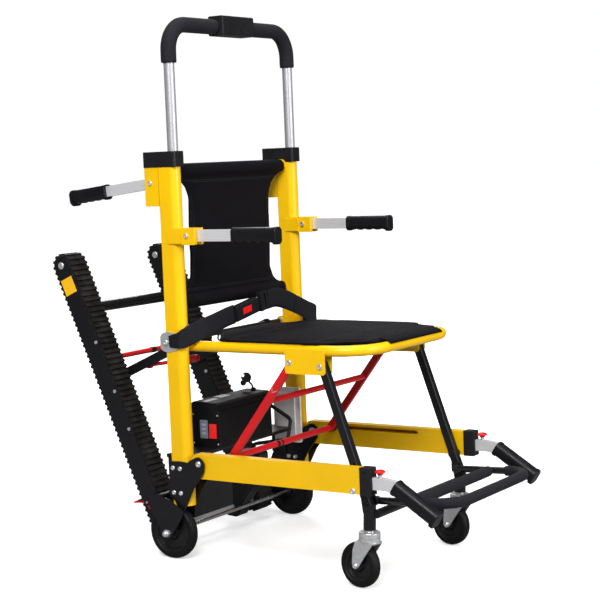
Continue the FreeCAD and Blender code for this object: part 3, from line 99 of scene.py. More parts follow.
class Shader:
    """Node graph of one material, ending in its Principled shader."""

    def __init__(self, name):
        self.material = bpy.data.materials.new(name)
        self.material.use_nodes = True
        self.tree = self.material.node_tree
        coords = self.add("TexCoord").outputs
        self.coords, self.uv = coords["Object"], coords["UV"]

    def feed(self, socket, value):
        if isinstance(value, bpy.types.NodeSocket):
            self.tree.links.new(value, socket)
        else:
            socket.default_value = (*value, 1) if socket.type == "RGBA" else value

    def add(self, kind, inputs=None, **settings):
        node = self.tree.nodes.new("ShaderNode" + kind)
        for key, value in settings.items():
            setattr(node, key, value)
        for key, value in (inputs or {}).items():
            self.feed(node.inputs[key], value)
        return node

    def mapping(self, scale, turn=(0, 0, 0)):
        inputs = {"Scale": scale, "Rotation": turn, "Vector": self.coords}
        return self.add("Mapping", inputs).outputs["Vector"]

    def noise(self, scale, detail=3, rough=0.55, coords=None):
        inputs = {"Scale": scale, "Detail": detail, "Roughness": rough,
                  "Vector": coords or self.coords}
        return self.add("TexNoise", inputs).outputs["Fac"]

    def voronoi(self, scale):
        inputs = {"Scale": scale, "Vector": self.coords}
        return self.add("TexVoronoi", inputs).outputs["Distance"]

    def remap(self, value, span, to=(0, 1)):
        inputs = {"Value": value, "From Min": span[0], "From Max": span[1],
                  "To Min": to[0], "To Max": to[1]}
        return self.add("MapRange", inputs).outputs["Result"]

    def mix(self, factor, a, b):
        return self.add("Mix", {0: factor, 6: a, 7: b}, data_type="RGBA").outputs[2]

    def math(self, operation, *values):
        return self.add("Math", dict(enumerate(values)), operation=operation).outputs[0]

    def times(self, a, b):
        return self.math("MULTIPLY", a, b)

    def plus(self, a, b):
        return self.math("ADD", a, b)

    def waves(self, value, rate):
        return self.math("SINE", self.times(value, rate))

    def split(self, vector):
        return self.add("SeparateXYZ", {0: vector}).outputs

    def bump(self, height, strength, depth, normal=None):
        inputs = {"Strength": strength, "Distance": depth, "Height": height}
        if normal is not None:
            inputs["Normal"] = normal
        return self.add("Bump", inputs).outputs["Normal"]

    def bevel(self, radius=0.0007):
        return self.add("Bevel", {"Radius": radius}, samples=3).outputs["Normal"]

    def edge_mask(self):
        """0 on flats, 1 on edges: how far the rounded normal strays from the true one."""
        rounded = self.bevel(radius=0.0012)
        true = self.add("NewGeometry").outputs["Normal"]
        dot = self.add("VectorMath", {0: rounded, 1: true}, operation="DOT_PRODUCT")
        return self.remap(dot.outputs["Value"], span=(0.97, 0.80), to=(0.0, 1.0))

    def finish(self, **inputs):
        principled = self.tree.nodes["Principled BSDF"]
        for key, value in inputs.items():
            self.feed(principled.inputs[key.replace("_", " ")], value)
        return self.material


def paint(name, colour, rough, coat, specular=0.5):
    """Paint with faint blotches, long scratches and worn edges."""
    s = Shader(name)
    blotch = s.noise(scale=9)
    grain = s.noise(scale=1100, detail=2)
    tint = s.mix(s.remap(blotch, span=(0.35, 0.7)), colour, scaled(colour, 0.93))
    streaks = s.mapping(scale=(1, 9, 1), turn=(0.5, 0.2, 0.9))
    scratch = s.noise(scale=60, detail=6, rough=0.7, coords=streaks)
    wear = s.times(s.edge_mask(), s.remap(s.noise(scale=70, detail=4), span=(0.5, 0.66)))
    worn = scaled(colour, factor=0.5, lift=0.14)
    tint = s.mix(s.times(wear, 0.5), tint, worn)
    gloss = s.plus(s.remap(scratch, span=(0.3, 0.75), to=(rough - 0.06, rough + 0.10)),
                   s.times(blotch, 0.05))
    normal = s.bump(grain, strength=0.12, depth=0.00025, normal=s.bevel())
    return s.finish(Base_Color=tint, Roughness=gloss, Coat_Weight=coat, Coat_Roughness=0.12,
                    Normal=normal, Specular_IOR_Level=specular)


def metal(name, colour, scale, rough, metallic=1.0):
    """Metal whose grain is drawn out along the axis of smallest scale, with dull patches."""
    s = Shader(name)
    line = s.noise(scale=1, detail=4, rough=0.6, coords=s.mapping(scale))
    dirt = s.noise(scale=14, detail=5, rough=0.6)
    tint = s.mix(s.remap(line, span=(0.3, 0.7)), colour, scaled(colour, 0.82))
    tint = s.mix(s.remap(dirt, span=(0.58, 0.85), to=(0, 0.35)), tint, scaled(colour, 0.5))
    gloss = s.plus(s.remap(line, span=(0.3, 0.7), to=(rough, rough + 0.14)),
                   s.remap(dirt, span=(0.4, 0.8), to=(0, 0.1)))
    return s.finish(Base_Color=tint, Metallic=metallic, Roughness=gloss,
                    Normal=s.bump(line, strength=0.10, depth=0.0002, normal=s.bevel()))


def plastic(name, colour, rough, grain=1300, relief=0.2, specular=0.25):
    """Moulded plastic with a fine cell grain and paler edges."""
    s = Shader(name)
    cells = s.voronoi(grain)
    blotch = s.noise(scale=22, detail=4)
    wear = s.times(s.edge_mask(), s.remap(s.noise(scale=120), span=(0.45, 0.7)))
    tint = s.mix(s.remap(blotch, span=(0.3, 0.75)), colour,
                 scaled(colour, factor=1.25, lift=0.003))
    tint = s.mix(s.times(wear, 0.35), tint, scaled(colour, factor=1, lift=0.07))
    gloss = s.remap(s.noise(scale=45, detail=5, rough=0.65), span=(0.3, 0.75),
                    to=(rough - 0.06, rough + 0.12))
    normal = s.bump(cells, relief, depth=0.00025, normal=s.bevel())
    return s.finish(Base_Color=tint, Roughness=gloss, Normal=normal,
                    Specular_IOR_Level=specular)


def rubber(name, colour, dust, rough):
    """Rubber with dust lying on the faces that look up."""
    s = Shader(name)
    grain = s.noise(scale=420, detail=4)
    blotch = s.noise(scale=30, detail=5, rough=0.65)
    facing = s.split(s.add("NewGeometry").outputs["Normal"])["Z"]
    upward = s.remap(facing, span=(-0.2, 1.0), to=(0.15, 1.0))
    cover = s.times(s.times(s.remap(blotch, span=(0.42, 0.75)), upward), dust)
    dust_colour = (0.16, 0.145, 0.13)
    tint = s.mix(cover, colour, dust_colour)
    gloss = s.remap(blotch, span=(0.3, 0.7), to=(rough - 0.12, rough + 0.1))
    normal = s.bump(grain, strength=0.25, depth=0.0004, normal=s.bevel(radius=0.0005))
    return s.finish(Base_Color=tint, Roughness=gloss, Normal=normal, Specular_IOR_Level=0.20)


def foam(name, colour):
    s = Shader(name)
    cells = s.voronoi(scale=620)
    lumps = s.noise(scale=160, detail=4)
    cell_share, lump_share = 0.7, 0.8   # parts each plays in the relief
    height = s.plus(s.times(cells, cell_share), s.times(lumps, lump_share))
    tint = s.mix(s.remap(cells, span=(0.1, 0.6)), scaled(colour, 0.6), scaled(colour, 1.5))
    return s.finish(Base_Color=tint, Roughness=s.remap(lumps, span=(0.3, 0.7), to=(0.72, 0.9)),
                    Sheen_Weight=0.02, Sheen_Roughness=0.5,
                    Normal=s.bump(height, strength=0.5, depth=0.0006), Specular_IOR_Level=0.18)


def canvas(name, colour, wrinkle, axes):
    """Plain weave across two object axes, with broad wrinkles and pale fuzz."""
    s = Shader(name)
    position = s.split(s.coords)
    rate = 2 * math.pi / 0.0018         # thread pitch 1.8 mm
    weave = s.times(s.waves(position[axes[0]], rate), s.waves(position[axes[1]], rate))
    stretched = s.mapping(scale=(1.0, 2.6, 1.6), turn=(0.3, 0.1, 0.5))
    folds = s.noise(scale=16, detail=4, rough=0.6, coords=stretched)
    fuzz = s.noise(scale=900, detail=2)
    tint = s.mix(s.remap(weave, span=(-1, 1)), scaled(colour, 0.55), scaled(colour, 1.6))
    # The cloth is painted lighter where the broad folds rise: a painted highlight on the wrinkle
    # crests, with painted shade left in the creases between them.
    tint = s.mix(s.remap(folds, span=(0.4, 0.8), to=(0, 0.35)), tint, scaled(colour, 2.1))
    tint = s.mix(s.remap(fuzz, span=(0.66, 0.85), to=(0, 0.4)), tint, scaled(colour, 4))
    normal = s.bump(folds, wrinkle, depth=0.0035)
    normal = s.bump(weave, strength=0.45, depth=0.0003, normal=normal)
    return s.finish(Base_Color=tint, Roughness=s.remap(fuzz, span=(0.3, 0.7), to=(0.72, 0.92)),
                    Sheen_Weight=0.01, Sheen_Roughness=0.45, Normal=normal,
                    Specular_IOR_Level=0.06)


def webbing(name, colour):
    """Chevron-woven strap: u runs across it (0 to 1), v along it in metres."""
    chevrons, slant = 6.0, 12.0         # chevrons across, phase lag over each
    pick_rate = 2 * math.pi / 0.0028    # cross rib pitch 2.8 mm
    cord_rate, cord_share = 190.0, 0.4  # lengthwise cords and their part in the relief
    s = Shader(name)
    across, along = s.split(s.uv)[:2]
    saw = s.math("MODULO", s.times(across, chevrons), 1.0)
    zigzag = s.math("ABSOLUTE", s.math("SUBTRACT", saw, 0.5))
    ribs = s.math("SINE", s.plus(s.times(along, pick_rate), s.times(zigzag, slant)))
    height = s.plus(ribs, s.times(s.waves(across, cord_rate), cord_share))
    tint = s.mix(s.remap(height, span=(-1.2, 1.2)), scaled(colour, 0.5), scaled(colour, 1.7))
    fuzz = s.noise(scale=800, detail=2)
    return s.finish(Base_Color=tint, Roughness=s.remap(fuzz, span=(0.3, 0.7), to=(0.5, 0.75)),
                    Sheen_Weight=0.02, Normal=s.bump(height, strength=0.5, depth=0.0004),
                    Specular_IOR_Level=0.15)


def glow_painted_rocker(name):
    s = Shader(name)
    blotch = s.noise(scale=200)
    bright, deep = (0.75, 0.01, 0.01), (0.55, 0.005, 0.008)
    # The emission is a painted glow that stands in for light shining through the translucent red
    # plastic of the rocker.
    return s.finish(Base_Color=s.mix(s.remap(blotch, span=(0.3, 0.7)), bright, deep),
                    Roughness=s.remap(blotch, span=(0.3, 0.7), to=(0.15, 0.25)),
                    Emission_Color=(0.9, 0.02, 0.01), Emission_Strength=0.25,
                    Normal=s.bump(blotch, strength=0.05, depth=0.0002, normal=s.bevel()))


YELLOW = paint("yellow_powder_coat", (0.92, 0.535, 0.0), rough=0.36, coat=0.12, specular=0.3)
BLACK = paint("black_powder_coat", (0.006, 0.006, 0.0085), rough=0.35, coat=0.10, specular=0.25)
ENAMEL = paint("black_gloss_enamel", (0.008, 0.008, 0.010), rough=0.20, coat=0.6)
RED = paint("red_powder_coat", (0.64, 0.006, 0.010), rough=0.33, coat=0.2, specular=0.35)
UPRIGHT = metal("drawn_aluminium_upright", (0.53, 0.52, 0.56), scale=(900, 900, 6),
                rough=0.34, metallic=0.55)
BAR = metal("drawn_aluminium_bar", (0.84, 0.84, 0.86), scale=(900, 6, 900),
            rough=0.38, metallic=0.45)
ZINC = metal("zinc_plate", (0.72, 0.73, 0.75), scale=(160, 160, 160), rough=0.28, metallic=0.7)
ROD = metal("polished_axle_rod", (0.74, 0.74, 0.76), scale=(8, 900, 900), rough=0.14)
ABS = plastic("black_abs", (0.0075, 0.0075, 0.009), rough=0.42)
SHELL = plastic("battery_shell", (0.0060, 0.0058, 0.0066), rough=0.52, specular=0.10)
NYLON = plastic("black_nylon_cap", (0.0075, 0.0075, 0.009), rough=0.36, grain=900, relief=0.15)
# Control plate: its own pale grey is lifted well above its real tone, which is painted light on
# a plate that sits in shade.
PLATE_GREY_PAINTED_LIGHT = plastic("grey_control_plate_painted_light", (0.84, 0.82, 0.81), rough=0.5, grain=700, relief=0.12)
KNOB = plastic("red_moulded_knob", (0.72, 0.010, 0.012), rough=0.26, grain=500, relief=0.04)
GRIP = rubber("black_grip_rubber", (0.0065, 0.0065, 0.0085), dust=0.04, rough=0.40)
BELT = rubber("stair_belt_rubber", (0.009, 0.0078, 0.0074), dust=0.30, rough=0.72)
TYRE = rubber("tyre_rubber", (0.004, 0.004, 0.0048), dust=0.05, rough=0.6)
DISC = plastic("wheel_disc", (0.006, 0.006, 0.007), rough=0.32, grain=600, relief=0.08)
FOAM = foam("grip_foam", (0.0085, 0.0085, 0.0115))
SEAT_CANVAS = canvas("seat_canvas", (0.0042, 0.0038, 0.0056), wrinkle=0.22, axes=(0, 1))
BACK_CANVAS = canvas("back_canvas", (0.0042, 0.0038, 0.0056), wrinkle=0.28, axes=(0, 2))
WEBBING = webbing("lap_belt_weave", (0.0075, 0.0075, 0.0105))
THREAD = plastic("stitch_thread", (0.035, 0.035, 0.04), rough=0.7, grain=3000, relief=0.3)
FOIL = plastic("blank_foil_label", (0.45, 0.45, 0.47), rough=0.3, grain=400, relief=0.05)
CAUTION = plastic("blank_caution_label", (0.93, 0.50, 0.01), rough=0.4, grain=400, relief=0.05)
GLASS = plastic("display_glass", (0.20, 0.25, 0.33), rough=0.12, grain=300, relief=0.02)
ROCKER = glow_painted_rocker("red_rocker_painted_glow")

# ------------------------------------------------------------ finishes of the CAD nodes
PLAIN_FINISHES = (
    (YELLOW, "main_posts handle_brackets seat_frame"),
    (BLACK, "lower_brackets battery_tray rear_wheel_forks drive_motor leg_frame track_stays"),
    (ENAMEL, "footrest_frame"),
    (RED, "release_lever"),
    (UPRIGHT, "handle_tube"),
    (BAR, "arm_bar_right arm_bar_left"),
    (ZINC, "belt_anchors seat_bolts caster_fork_right caster_fork_left"),
    (ABS, "motor_cover control_box idler_pulleys"),
    (SHELL, "battery_case battery_lid"),
    (NYLON, "post_caps buckle_tongue buckle_housing direction_rocker rail_end_caps"),
    (PLATE_GREY_PAINTED_LIGHT, "controller_box"),
    (KNOB, "buckle_button run_button brake_pedal_right brake_pedal_left"),
    (ROCKER, "power_rocker"),
    (GRIP, "battery_leads arm_grip_right arm_grip_left"),
    (BELT, "track_belts"),
    (SEAT_CANVAS, "back_sling seat_sling"),
    (WEBBING, "lap_belt_webbing"),
    (FOAM, "handle_foam footrest_foam"),
)


def finish_node(name, base, *rules):
    """rules are (material, test of a face centre in row mm); the last that holds wins."""
    mesh = NODES[name].data
    mesh.materials.clear()
    for material in (base, *(rule[0] for rule in rules)):
        mesh.materials.append(material)
    for face in mesh.polygons:
        centre = [c * 1000 for c in face.center]
        face.material_index = 0
        for slot, (_, test) in enumerate(rules, 1):
            if test(*centre):
                face.material_index = slot


def radius_from(centre, y, z):
    return math.hypot(y - centre[0], z - centre[1])


def finish_rear_handle(name):
    """Aluminium bar; faces wholly beyond the grip's start are rubber."""
    slope = math.radians(-6.6)
    root_y, root_z, grip_start = 56, 860, 139.0

    def on_grip(vertex):
        _, y, z = to_leaned(*(vertex.co * 1000))
        return (y - root_y) * math.cos(slope) + (z - root_z) * math.sin(slope) > grip_start

    mesh = NODES[name].data
    mesh.materials.clear()
    mesh.materials.append(BAR)
    mesh.materials.append(GRIP)
    for face in mesh.polygons:
        face.material_index = int(all(on_grip(mesh.vertices[i]) for i in face.vertices))


def on_front_grip(x, y, z):
    slope = math.atan2(58.5, 92.0)
    _, y, z = to_leaned(x, y, z)
    return -(y + 544.5) * math.cos(slope) - (z - 213.7) * math.sin(slope) > -0.2


def on_caster_disc(sign):
    """Test for the disc of a caster wheel that trails its pivot, swivelled by 10 degrees."""
    swivel, trail, axle_z, disc_radius = math.radians(10), 25, 50, 34.9
    centre_x = sign * 206 + trail * math.sin(swivel)
    centre_y = -455 + trail * math.cos(swivel)

    def test(x, y, z):
        along = (x - centre_x) * math.sin(swivel) + (y - centre_y) * math.cos(swivel)
        return math.hypot(along, z - axle_z) < disc_radius
    return test


for material, names in PLAIN_FINISHES:
    for name in names.split():
        finish_node(name, material)
finish_node("frame_bolts", ZINC, (BLACK, lambda x, y, z: abs(x) < 192.6))
finish_node("rear_axle", ZINC, (ROD, lambda x, y, z: abs(x) < 216 or
                                abs(radius_from(REAR_AXLE, y, z) - 4.5) < 0.1))
finish_node("lower_rails", YELLOW, (ZINC, lambda x, y, z: abs(x) > 247.55),
            (BLACK, lambda x, y, z: abs(x) < 222.4))
finish_node("fold_brace", RED, (ABS, lambda x, y, z: abs(x) > 211.55))
finish_node("track_beams", BLACK, (ZINC, lambda x, y, z: abs(abs(x) - 179) > 31.85))
finish_node("track_cross_tubes", BLACK, (RED, lambda x, y, z: z < 480))
finish_node("drive_sprockets", ZINC, (ABS, lambda x, y, z: radius_from(SPROCKET, y, z) > 8.2))
for side, sign in SIDES:
    finish_rear_handle("rear_handle_" + side)
    finish_node("front_handle_" + side, BAR, (GRIP, on_front_grip))
    finish_node("front_knob_" + side, KNOB,
                (ZINC, lambda x, y, z: to_leaned(x, y, z)[2] < 235.8))
    finish_node("rear_wheel_" + side, TYRE,
                (DISC, lambda x, y, z: radius_from(REAR_AXLE, y, z) < 45.9))
    finish_node("caster_wheel_" + side, TYRE, (DISC, on_caster_disc(sign)))


# ------------------------------------------------------------ mesh helpers
def new_object(name, data):
    obj = bpy.data.objects.new(name, data)
    scene.collection.objects.link(obj)
    return obj


def evaluated(obj):
    bpy.context.view_layer.update()
    return bpy.data.meshes.new_from_object(
        obj.evaluated_get(bpy.context.evaluated_depsgraph_get()))


def shade_smooth(mesh):
    for face in mesh.polygons:
        face.use_smooth = True


def finish_bmesh(name, bm, material, body, smooth=False):
    mesh = bpy.data.meshes.new(name)
    bm.to_mesh(mesh)
    bm.free()
    if smooth:
        shade_smooth(mesh)
    mesh.materials.append(material)
    obj = new_object(name, mesh)
    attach(obj, body)
    return obj


def tube_along(name, points, radius, material, body, closed=False):
    curve = bpy.data.curves.new(name, "CURVE")
    curve.dimensions = "3D"
    curve.bevel_depth = radius
    curve.bevel_resolution = 3
    curve.use_fill_caps = True
    spline = curve.splines.new("POLY")
    spline.points.add(len(points) - 1)
    for i, p in enumerate(points):
        spline.points[i].co = (*p, 1)
    spline.use_cyclic_u = closed
    source = new_object(name + "_c", curve)
    mesh = evaluated(source)
    bpy.data.objects.remove(source)
    mesh.name = name
    shade_smooth(mesh)
    mesh.materials.clear()
    mesh.materials.append(material)
    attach(new_object(name, mesh), body)


def cut_corners(points, closed=True):
    """Two rounds of corner cutting."""
    for _ in range(2):
        cut = []
        count = len(points)
        for i in range(count if closed else count - 1):
            a, b = points[i], points[(i + 1) % count]
            cut += [a.lerp(b, 0.2), a.lerp(b, 0.8)]
        points = cut
    return points


# ------------------------------------------------------------ cloth
def inflate(obj, rest, pressure, reach, pinned):
    """Blow the mesh up as cloth, each vertex moving at most reach metres from rest."""
    last_frame, stiffness = 20, 25.0
    if pinned:
        group = obj.vertex_groups.new(name="pin")
        for i, p in enumerate(rest):
            if pinned(*to_leaned(*(p * 1000))):
                group.add([i], 1.0, "REPLACE")
    cloth = obj.modifiers.new("cloth", "CLOTH")
    settings = cloth.settings
    settings.quality = 5
    settings.mass = 0.25
    settings.tension_stiffness = settings.compression_stiffness = stiffness
    settings.shear_stiffness = stiffness * 0.4
    settings.bending_stiffness = 1.0
    settings.use_pressure = True
    settings.uniform_pressure_force = pressure
    settings.effector_weights.gravity = 0.0
    if pinned:
        settings.vertex_group_mass = "pin"
    cloth.point_cache.frame_start = 1
    cloth.point_cache.frame_end = last_frame
    for frame in range(1, last_frame + 1):
        scene.frame_set(frame)
    mesh = evaluated(obj)
    obj.modifiers.clear()
    move = np.array([v.co for v in mesh.vertices]) - rest
    length = np.linalg.norm(move, axis=1, keepdims=True)
    move = move * np.minimum(1.0, reach / np.maximum(length, 1e-9))
    obj.data = mesh
    mesh.vertices.foreach_set("co", (rest + move).reshape(-1))
    mesh.update()
    scene.frame_set(1)


def cushion(node, name, material, body, pressure, inset, reach, pinned=None):
    """Soft stand-in for a CAD sling: remeshed, drawn in by inset, inflated and smoothed."""
    source = new_object(name + "_src", NODES[node].data.copy())
    remesh = source.modifiers.new("r", "REMESH")
    remesh.mode = "VOXEL"
    remesh.voxel_size = 0.0045
    mesh = evaluated(source)
    bpy.data.objects.remove(source)
    obj = new_object(name, mesh)
    rest = np.array([v.co for v in mesh.vertices])
    rest = rest - np.array([v.normal for v in mesh.vertices]) * inset
    mesh.vertices.foreach_set("co", rest.reshape(-1))
    mesh.update()
    inflate(obj, rest, pressure, reach, pinned)
    relax = obj.modifiers.new("sm", "SMOOTH")
    relax.factor = 0.5
    relax.iterations = 3
    subdivide = obj.modifiers.new("sub", "SUBSURF")
    subdivide.levels = subdivide.render_levels = 1
    mesh = evaluated(obj)
    obj.modifiers.clear()
    obj.data = mesh
    mesh.materials.clear()
    mesh.materials.append(material)
    shade_smooth(mesh)
    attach(obj, body)
    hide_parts(node)
    return obj


def stitches(name, lines, target, body, drop):
    """Thread laid on target's surface: lines of points, dropped along the direction drop."""
    pitch, length, radius, lift = 0.0052, 0.0034, 0.00045, 0.0002
    # Along the stitch (share of its length), share of its radius
    sections = ((-0.5, 0.35), (-0.28, 1.0), (0.28, 1.0), (0.5, 0.35))
    tree = BVHTree.FromObject(target, bpy.context.evaluated_depsgraph_get())
    marks = []
    for line in lines:
        for a, b in zip(line[:-1], line[1:]):
            count = max(1, int((b - a).length / pitch))
            for i in range(count):
                marks.append((a.lerp(b, (i + 0.5) / count), (b - a).normalized()))
    bm = bmesh.new()
    for point, run in marks:
        hit, normal = tree.ray_cast(point - drop * 0.05, drop, 0.1)[:2]
        if hit is None:
            continue
        run = (run - normal * run.dot(normal)).normalized()
        across = normal.cross(run)
        centre = hit + normal * lift
        rings = []
        for along, swell in sections:
            rings.append([bm.verts.new(
                centre + run * (along * length)
                + (across * math.cos(t) + normal * math.sin(t)) * radius * swell)
                for t in (0, math.pi / 2, math.pi, 1.5 * math.pi)])
        for r0, r1 in zip(rings[:-1], rings[1:]):
            for i in range(4):
                j = (i + 1) % 4
                bm.faces.new((r0[i], r0[j], r1[j], r1[i]))
        bm.faces.new(rings[0][::-1])
        bm.faces.new(rings[-1])
    finish_bmesh(name, bm, THREAD, body, smooth=True)


# ------------------------------------------------------------ seat
SEAT_TOP = 503.9
# Pad outline as leaned (x, y)
SEAT_OUTLINE = [
    (-90, 6), (90, 6), (199, -72), (212, -96), (217, -356), (176, -379),
    (147, -456), (-147, -456), (-176, -379), (-217, -356), (-212, -96), (-199, -72)]


def seat_ring(inset):
    """The seat outline moved inward and rounded, at the height of the pad's top."""
    corners = [Vector((x, y, 0)) for x, y in SEAT_OUTLINE]
    count = len(corners)
    middle = Vector((sum(x for x, _ in SEAT_OUTLINE) / count,
                     sum(y for _, y in SEAT_OUTLINE) / count, 0))
    moved = []
    for i, corner in enumerate(corners):
        normals = []
        for edge in (corner - corners[i - 1], corners[(i + 1) % count] - corner):
            edge.normalize()
            normal = Vector((-edge.y, edge.x, 0))
            normals.append(-normal if normal.dot(middle - corner) < 0 else normal)
        bisector = (normals[0] + normals[1]).normalized()
        moved.append(corner + bisector * (inset / max(0.4, bisector.dot(normals[0]))))
    return [place(p.x, p.y, SEAT_TOP) for p in cut_corners(moved)]


def front_hem():
    """Folded sheet over the seat's front edge, its outer face a little uneven."""
    x_start, x_end, steps, thickness = -110, 122, 48, 2.0
    # Side profile as leaned (y, z)
    profile = [(-418, 506.9), (-440, 506.9), (-456, 504.6), (-467, 501.2), (-473.6, 494.0)]
    path = cut_corners([Vector((0, y, z)) for y, z in profile], closed=False)
    last = len(path) - 1
    bm = bmesh.new()
    top, bottom = [], []
    for i in range(steps + 1):
        x = x_start + (x_end - x_start) * (i / steps)
        top_row, bottom_row = [], []
        for j, p in enumerate(path):
            run = (path[min(last, j + 1)] - path[max(0, j - 1)]).normalized()
            normal = Vector((0, run.z, -run.y))
            if normal.z < 0 and abs(run.z) < 0.9:
                normal = -normal
            ripple = 0.5 * math.sin(x / 21.0 + j * 0.4) + 0.35 * math.sin(x / 8.3)
            rise = thickness + 0.3 * ripple
            top_row.append(bm.verts.new(place(x, p.y + normal.y * rise, p.z + normal.z * rise)))
            bottom_row.append(bm.verts.new(place(x, p.y, p.z)))
        top.append(top_row)
        bottom.append(bottom_row)
    for i in range(steps):
        t0, t1, b0, b1 = top[i], top[i + 1], bottom[i], bottom[i + 1]
        for j in range(last):
            bm.faces.new((t0[j], t0[j + 1], t1[j + 1], t1[j]))
            bm.faces.new((b0[j], b1[j], b1[j + 1], b0[j + 1]))
        for j in (0, last):
            bm.faces.new((t0[j], t1[j], b1[j], b0[j]))
    for i in (0, steps):
        for j in range(last):
            bm.faces.new((top[i][j], bottom[i][j], bottom[i][j + 1], top[i][j + 1]))
    bmesh.ops.recalc_face_normals(bm, faces=bm.faces)
    hem = finish_bmesh("seat_front_hem", bm, SEAT_CANVAS, "seat", smooth=True)


seat = cushion("seat_sling", "seat_pad_cloth", SEAT_CANVAS, "seat",
               pressure=4.0, inset=0.0012, reach=0.004)
tube_along("seat_edge_binding", seat_ring(1.6), 0.0021, SEAT_CANVAS, "seat", closed=True)
for i, inset in enumerate((11, 15), 1):
    ring = seat_ring(inset)
    stitches("seat_hem_stitch_%d" % i, [ring + [ring[0]]], seat, "seat", -UP)
stitches("seat_cross_stitch",
         [[place(-half, y, 504), place(half, y, 504)] for half, y in ((196, -112), (200, -338))],
         seat, "seat", -UP)
front_hem()

# ------------------------------------------------------------ back rest
# Side seam on the right, as leaned (x, z) from the top down
BACK_SEAM = [(-203, 858), (-190, 850), (-172, 840), (-158, 820), (-155, 790),
             (-155, 690), (-157, 640), (-170, 618), (-186, 608)]
# Rows across the upper and lower sleeves: (half width, z)
SLEEVE_ROWS = ((190, 862), (165, 858), (185, 611), (180, 615))


def back_point(x, z):
    return place(x, 18 + (886 - z) * 8 / 300.0, z)


def side_seams(inset):
    return [[back_point(side * (x + inset), z) for x, z in BACK_SEAM] for side in (1, -1)]


back = cushion("back_sling", "back_rest_cloth", BACK_CANVAS, "root",
               pressure=2.2, inset=0.0006, reach=0.005,
               pinned=lambda x, y, z: z > 871 or z < 600)
stitches("back_side_stitch", side_seams(0) + side_seams(5), back, "root", REAR)
stitches("back_side_stitch_rear", side_seams(0), back, "root", -REAR)
stitches("back_sleeve_stitch",
         [[back_point(-half, z), back_point(half, z)] for half, z in SLEEVE_ROWS],
         back, "root", REAR)


# ------------------------------------------------------------ foam
def soften(node):
    obj = NODES[node]
    remesh = obj.modifiers.new("r", "REMESH")
    remesh.mode = "VOXEL"
    remesh.voxel_size = 0.003
    remesh.use_smooth_shade = True
    obj.modifiers.new("s", "SMOOTH").iterations = 4
    lumps = bpy.data.textures.new(node + "_lumps", "CLOUDS")
    lumps.noise_scale = 0.02
    displace = obj.modifiers.new("d", "DISPLACE")
    displace.texture = lumps
    displace.strength = 0.0005
    displace.mid_level = 0.5


soften("handle_foam")
soften("footrest_foam")

# ------------------------------------------------------------ lap belt
# Paths as leaned (x, y, z)
RIGHT_BELT = [
    (-255.6, 20, 503.5), (-257.5, 6, 505), (-258.6, -8.5, 506.8), (-254.0, -14.5, 508.5),
    (-246, -17.6, 511.5), (-236, -19.8, 514.5), (-226, -27, 520), (-215, -38, 528),
    (-198, -47, 534), (-170, -53, 541), (-140, -57, 548), (-110, -58.5, 552.5)]
LEFT_BELT = [
    (20, -58.5, 572), (60, -58.5, 574), (105, -58, 564), (150, -58, 548),
    (190, -60, 532), (222, -60, 521), (246, -50, 512), (257.5, -30, 507),
    (259.6, -12, 504.5), (257.5, 6, 503.5), (255.6, 20, 503.5)]
DOUBLED_END = [(24, -60.9, 574), (60, -61.4, 576.5), (100, -61.2, 567), (138, -60.4, 553)]
# Section with rounded selvedges: (share of half width, share of half thickness)
BELT_SECTION = [
    (-1, -0.35), (-0.93, -1), (-0.5, -1), (0, -1), (0.5, -1), (0.93, -1), (1, -0.35),
    (1, 0.35), (0.93, 1), (0.5, 1), (0, 1), (-0.5, 1), (-0.93, 1), (-1, 0.35)]


def catmull_rom(path, steps=10):
    points = [Vector(p) for p in path]
    points = [points[0] * 2 - points[1]] + points + [points[-1] * 2 - points[-2]]
    curve = []
    for i in range(1, len(points) - 2):
        a, b, c, d = points[i - 1:i + 3]
        for k in range(steps):
            t = k / steps
            curve.append(0.5 * ((2 * b) + (c - a) * t + (2 * a - 5 * b + 4 * c - d) * t * t
                                + (3 * b - a - 3 * c + d) * t ** 3))
    curve.append(points[-2])
    return curve


def strap(name, path, half_width, half_thickness, width_at=lambda f: 1.0):
    """Flat webbing; width_at gives the share of full width at each fraction of the path."""
    points = catmull_rom(path)
    last = len(points) - 1
    bm = bmesh.new()
    uv_layer = bm.loops.layers.uv.new("UV")
    rows, lengths = [], []
    length = 0
    for i, p in enumerate(points):
        run = (points[min(last, i + 1)] - points[max(0, i - 1)]).normalized()
        if i:
            length += (p - points[i - 1]).length
        through = run.cross(Vector((0, 0, 1))).normalized()
        across = through.cross(run).normalized()
        ripple = 0.6 * math.sin(length / 17.0) * math.sin(math.pi * i / last)
        half = half_width * width_at(i / last)
        rows.append([bm.verts.new(place(*(
            p + across * (u * half) + through * (v * half_thickness + ripple * u * u))))
            for u, v in BELT_SECTION])
        lengths.append(length / 1000)
    count = len(BELT_SECTION)
    for i in range(last):
        for k in range(count):
            j = (k + 1) % count
            corners = ((i, k), (i, j), (i + 1, j), (i + 1, k))
            face = bm.faces.new([rows[row][col] for row, col in corners])
            face.smooth = True
            for loop, (row, col) in zip(face.loops, corners):
                loop[uv_layer].uv = ((BELT_SECTION[col][0] + 1) / 2, lengths[row])
    bm.faces.new(rows[0][::-1])
    bm.faces.new(rows[-1])
    bmesh.ops.recalc_face_normals(bm, faces=bm.faces)
    return finish_bmesh(name, bm, WEBBING, "root")


straps = (
    strap("lap_belt_right", RIGHT_BELT, 22, 1.0, lambda f: min(1.0, 0.60 + 1.2 * f)),
    strap("lap_belt_left", LEFT_BELT, 22, 1.0, lambda f: min(1.0, 0.60 + 1.5 * (1 - f))),
    strap("lap_belt_doubled_end", DOUBLED_END, 21.5, 0.9))
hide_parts("lap_belt_webbing")


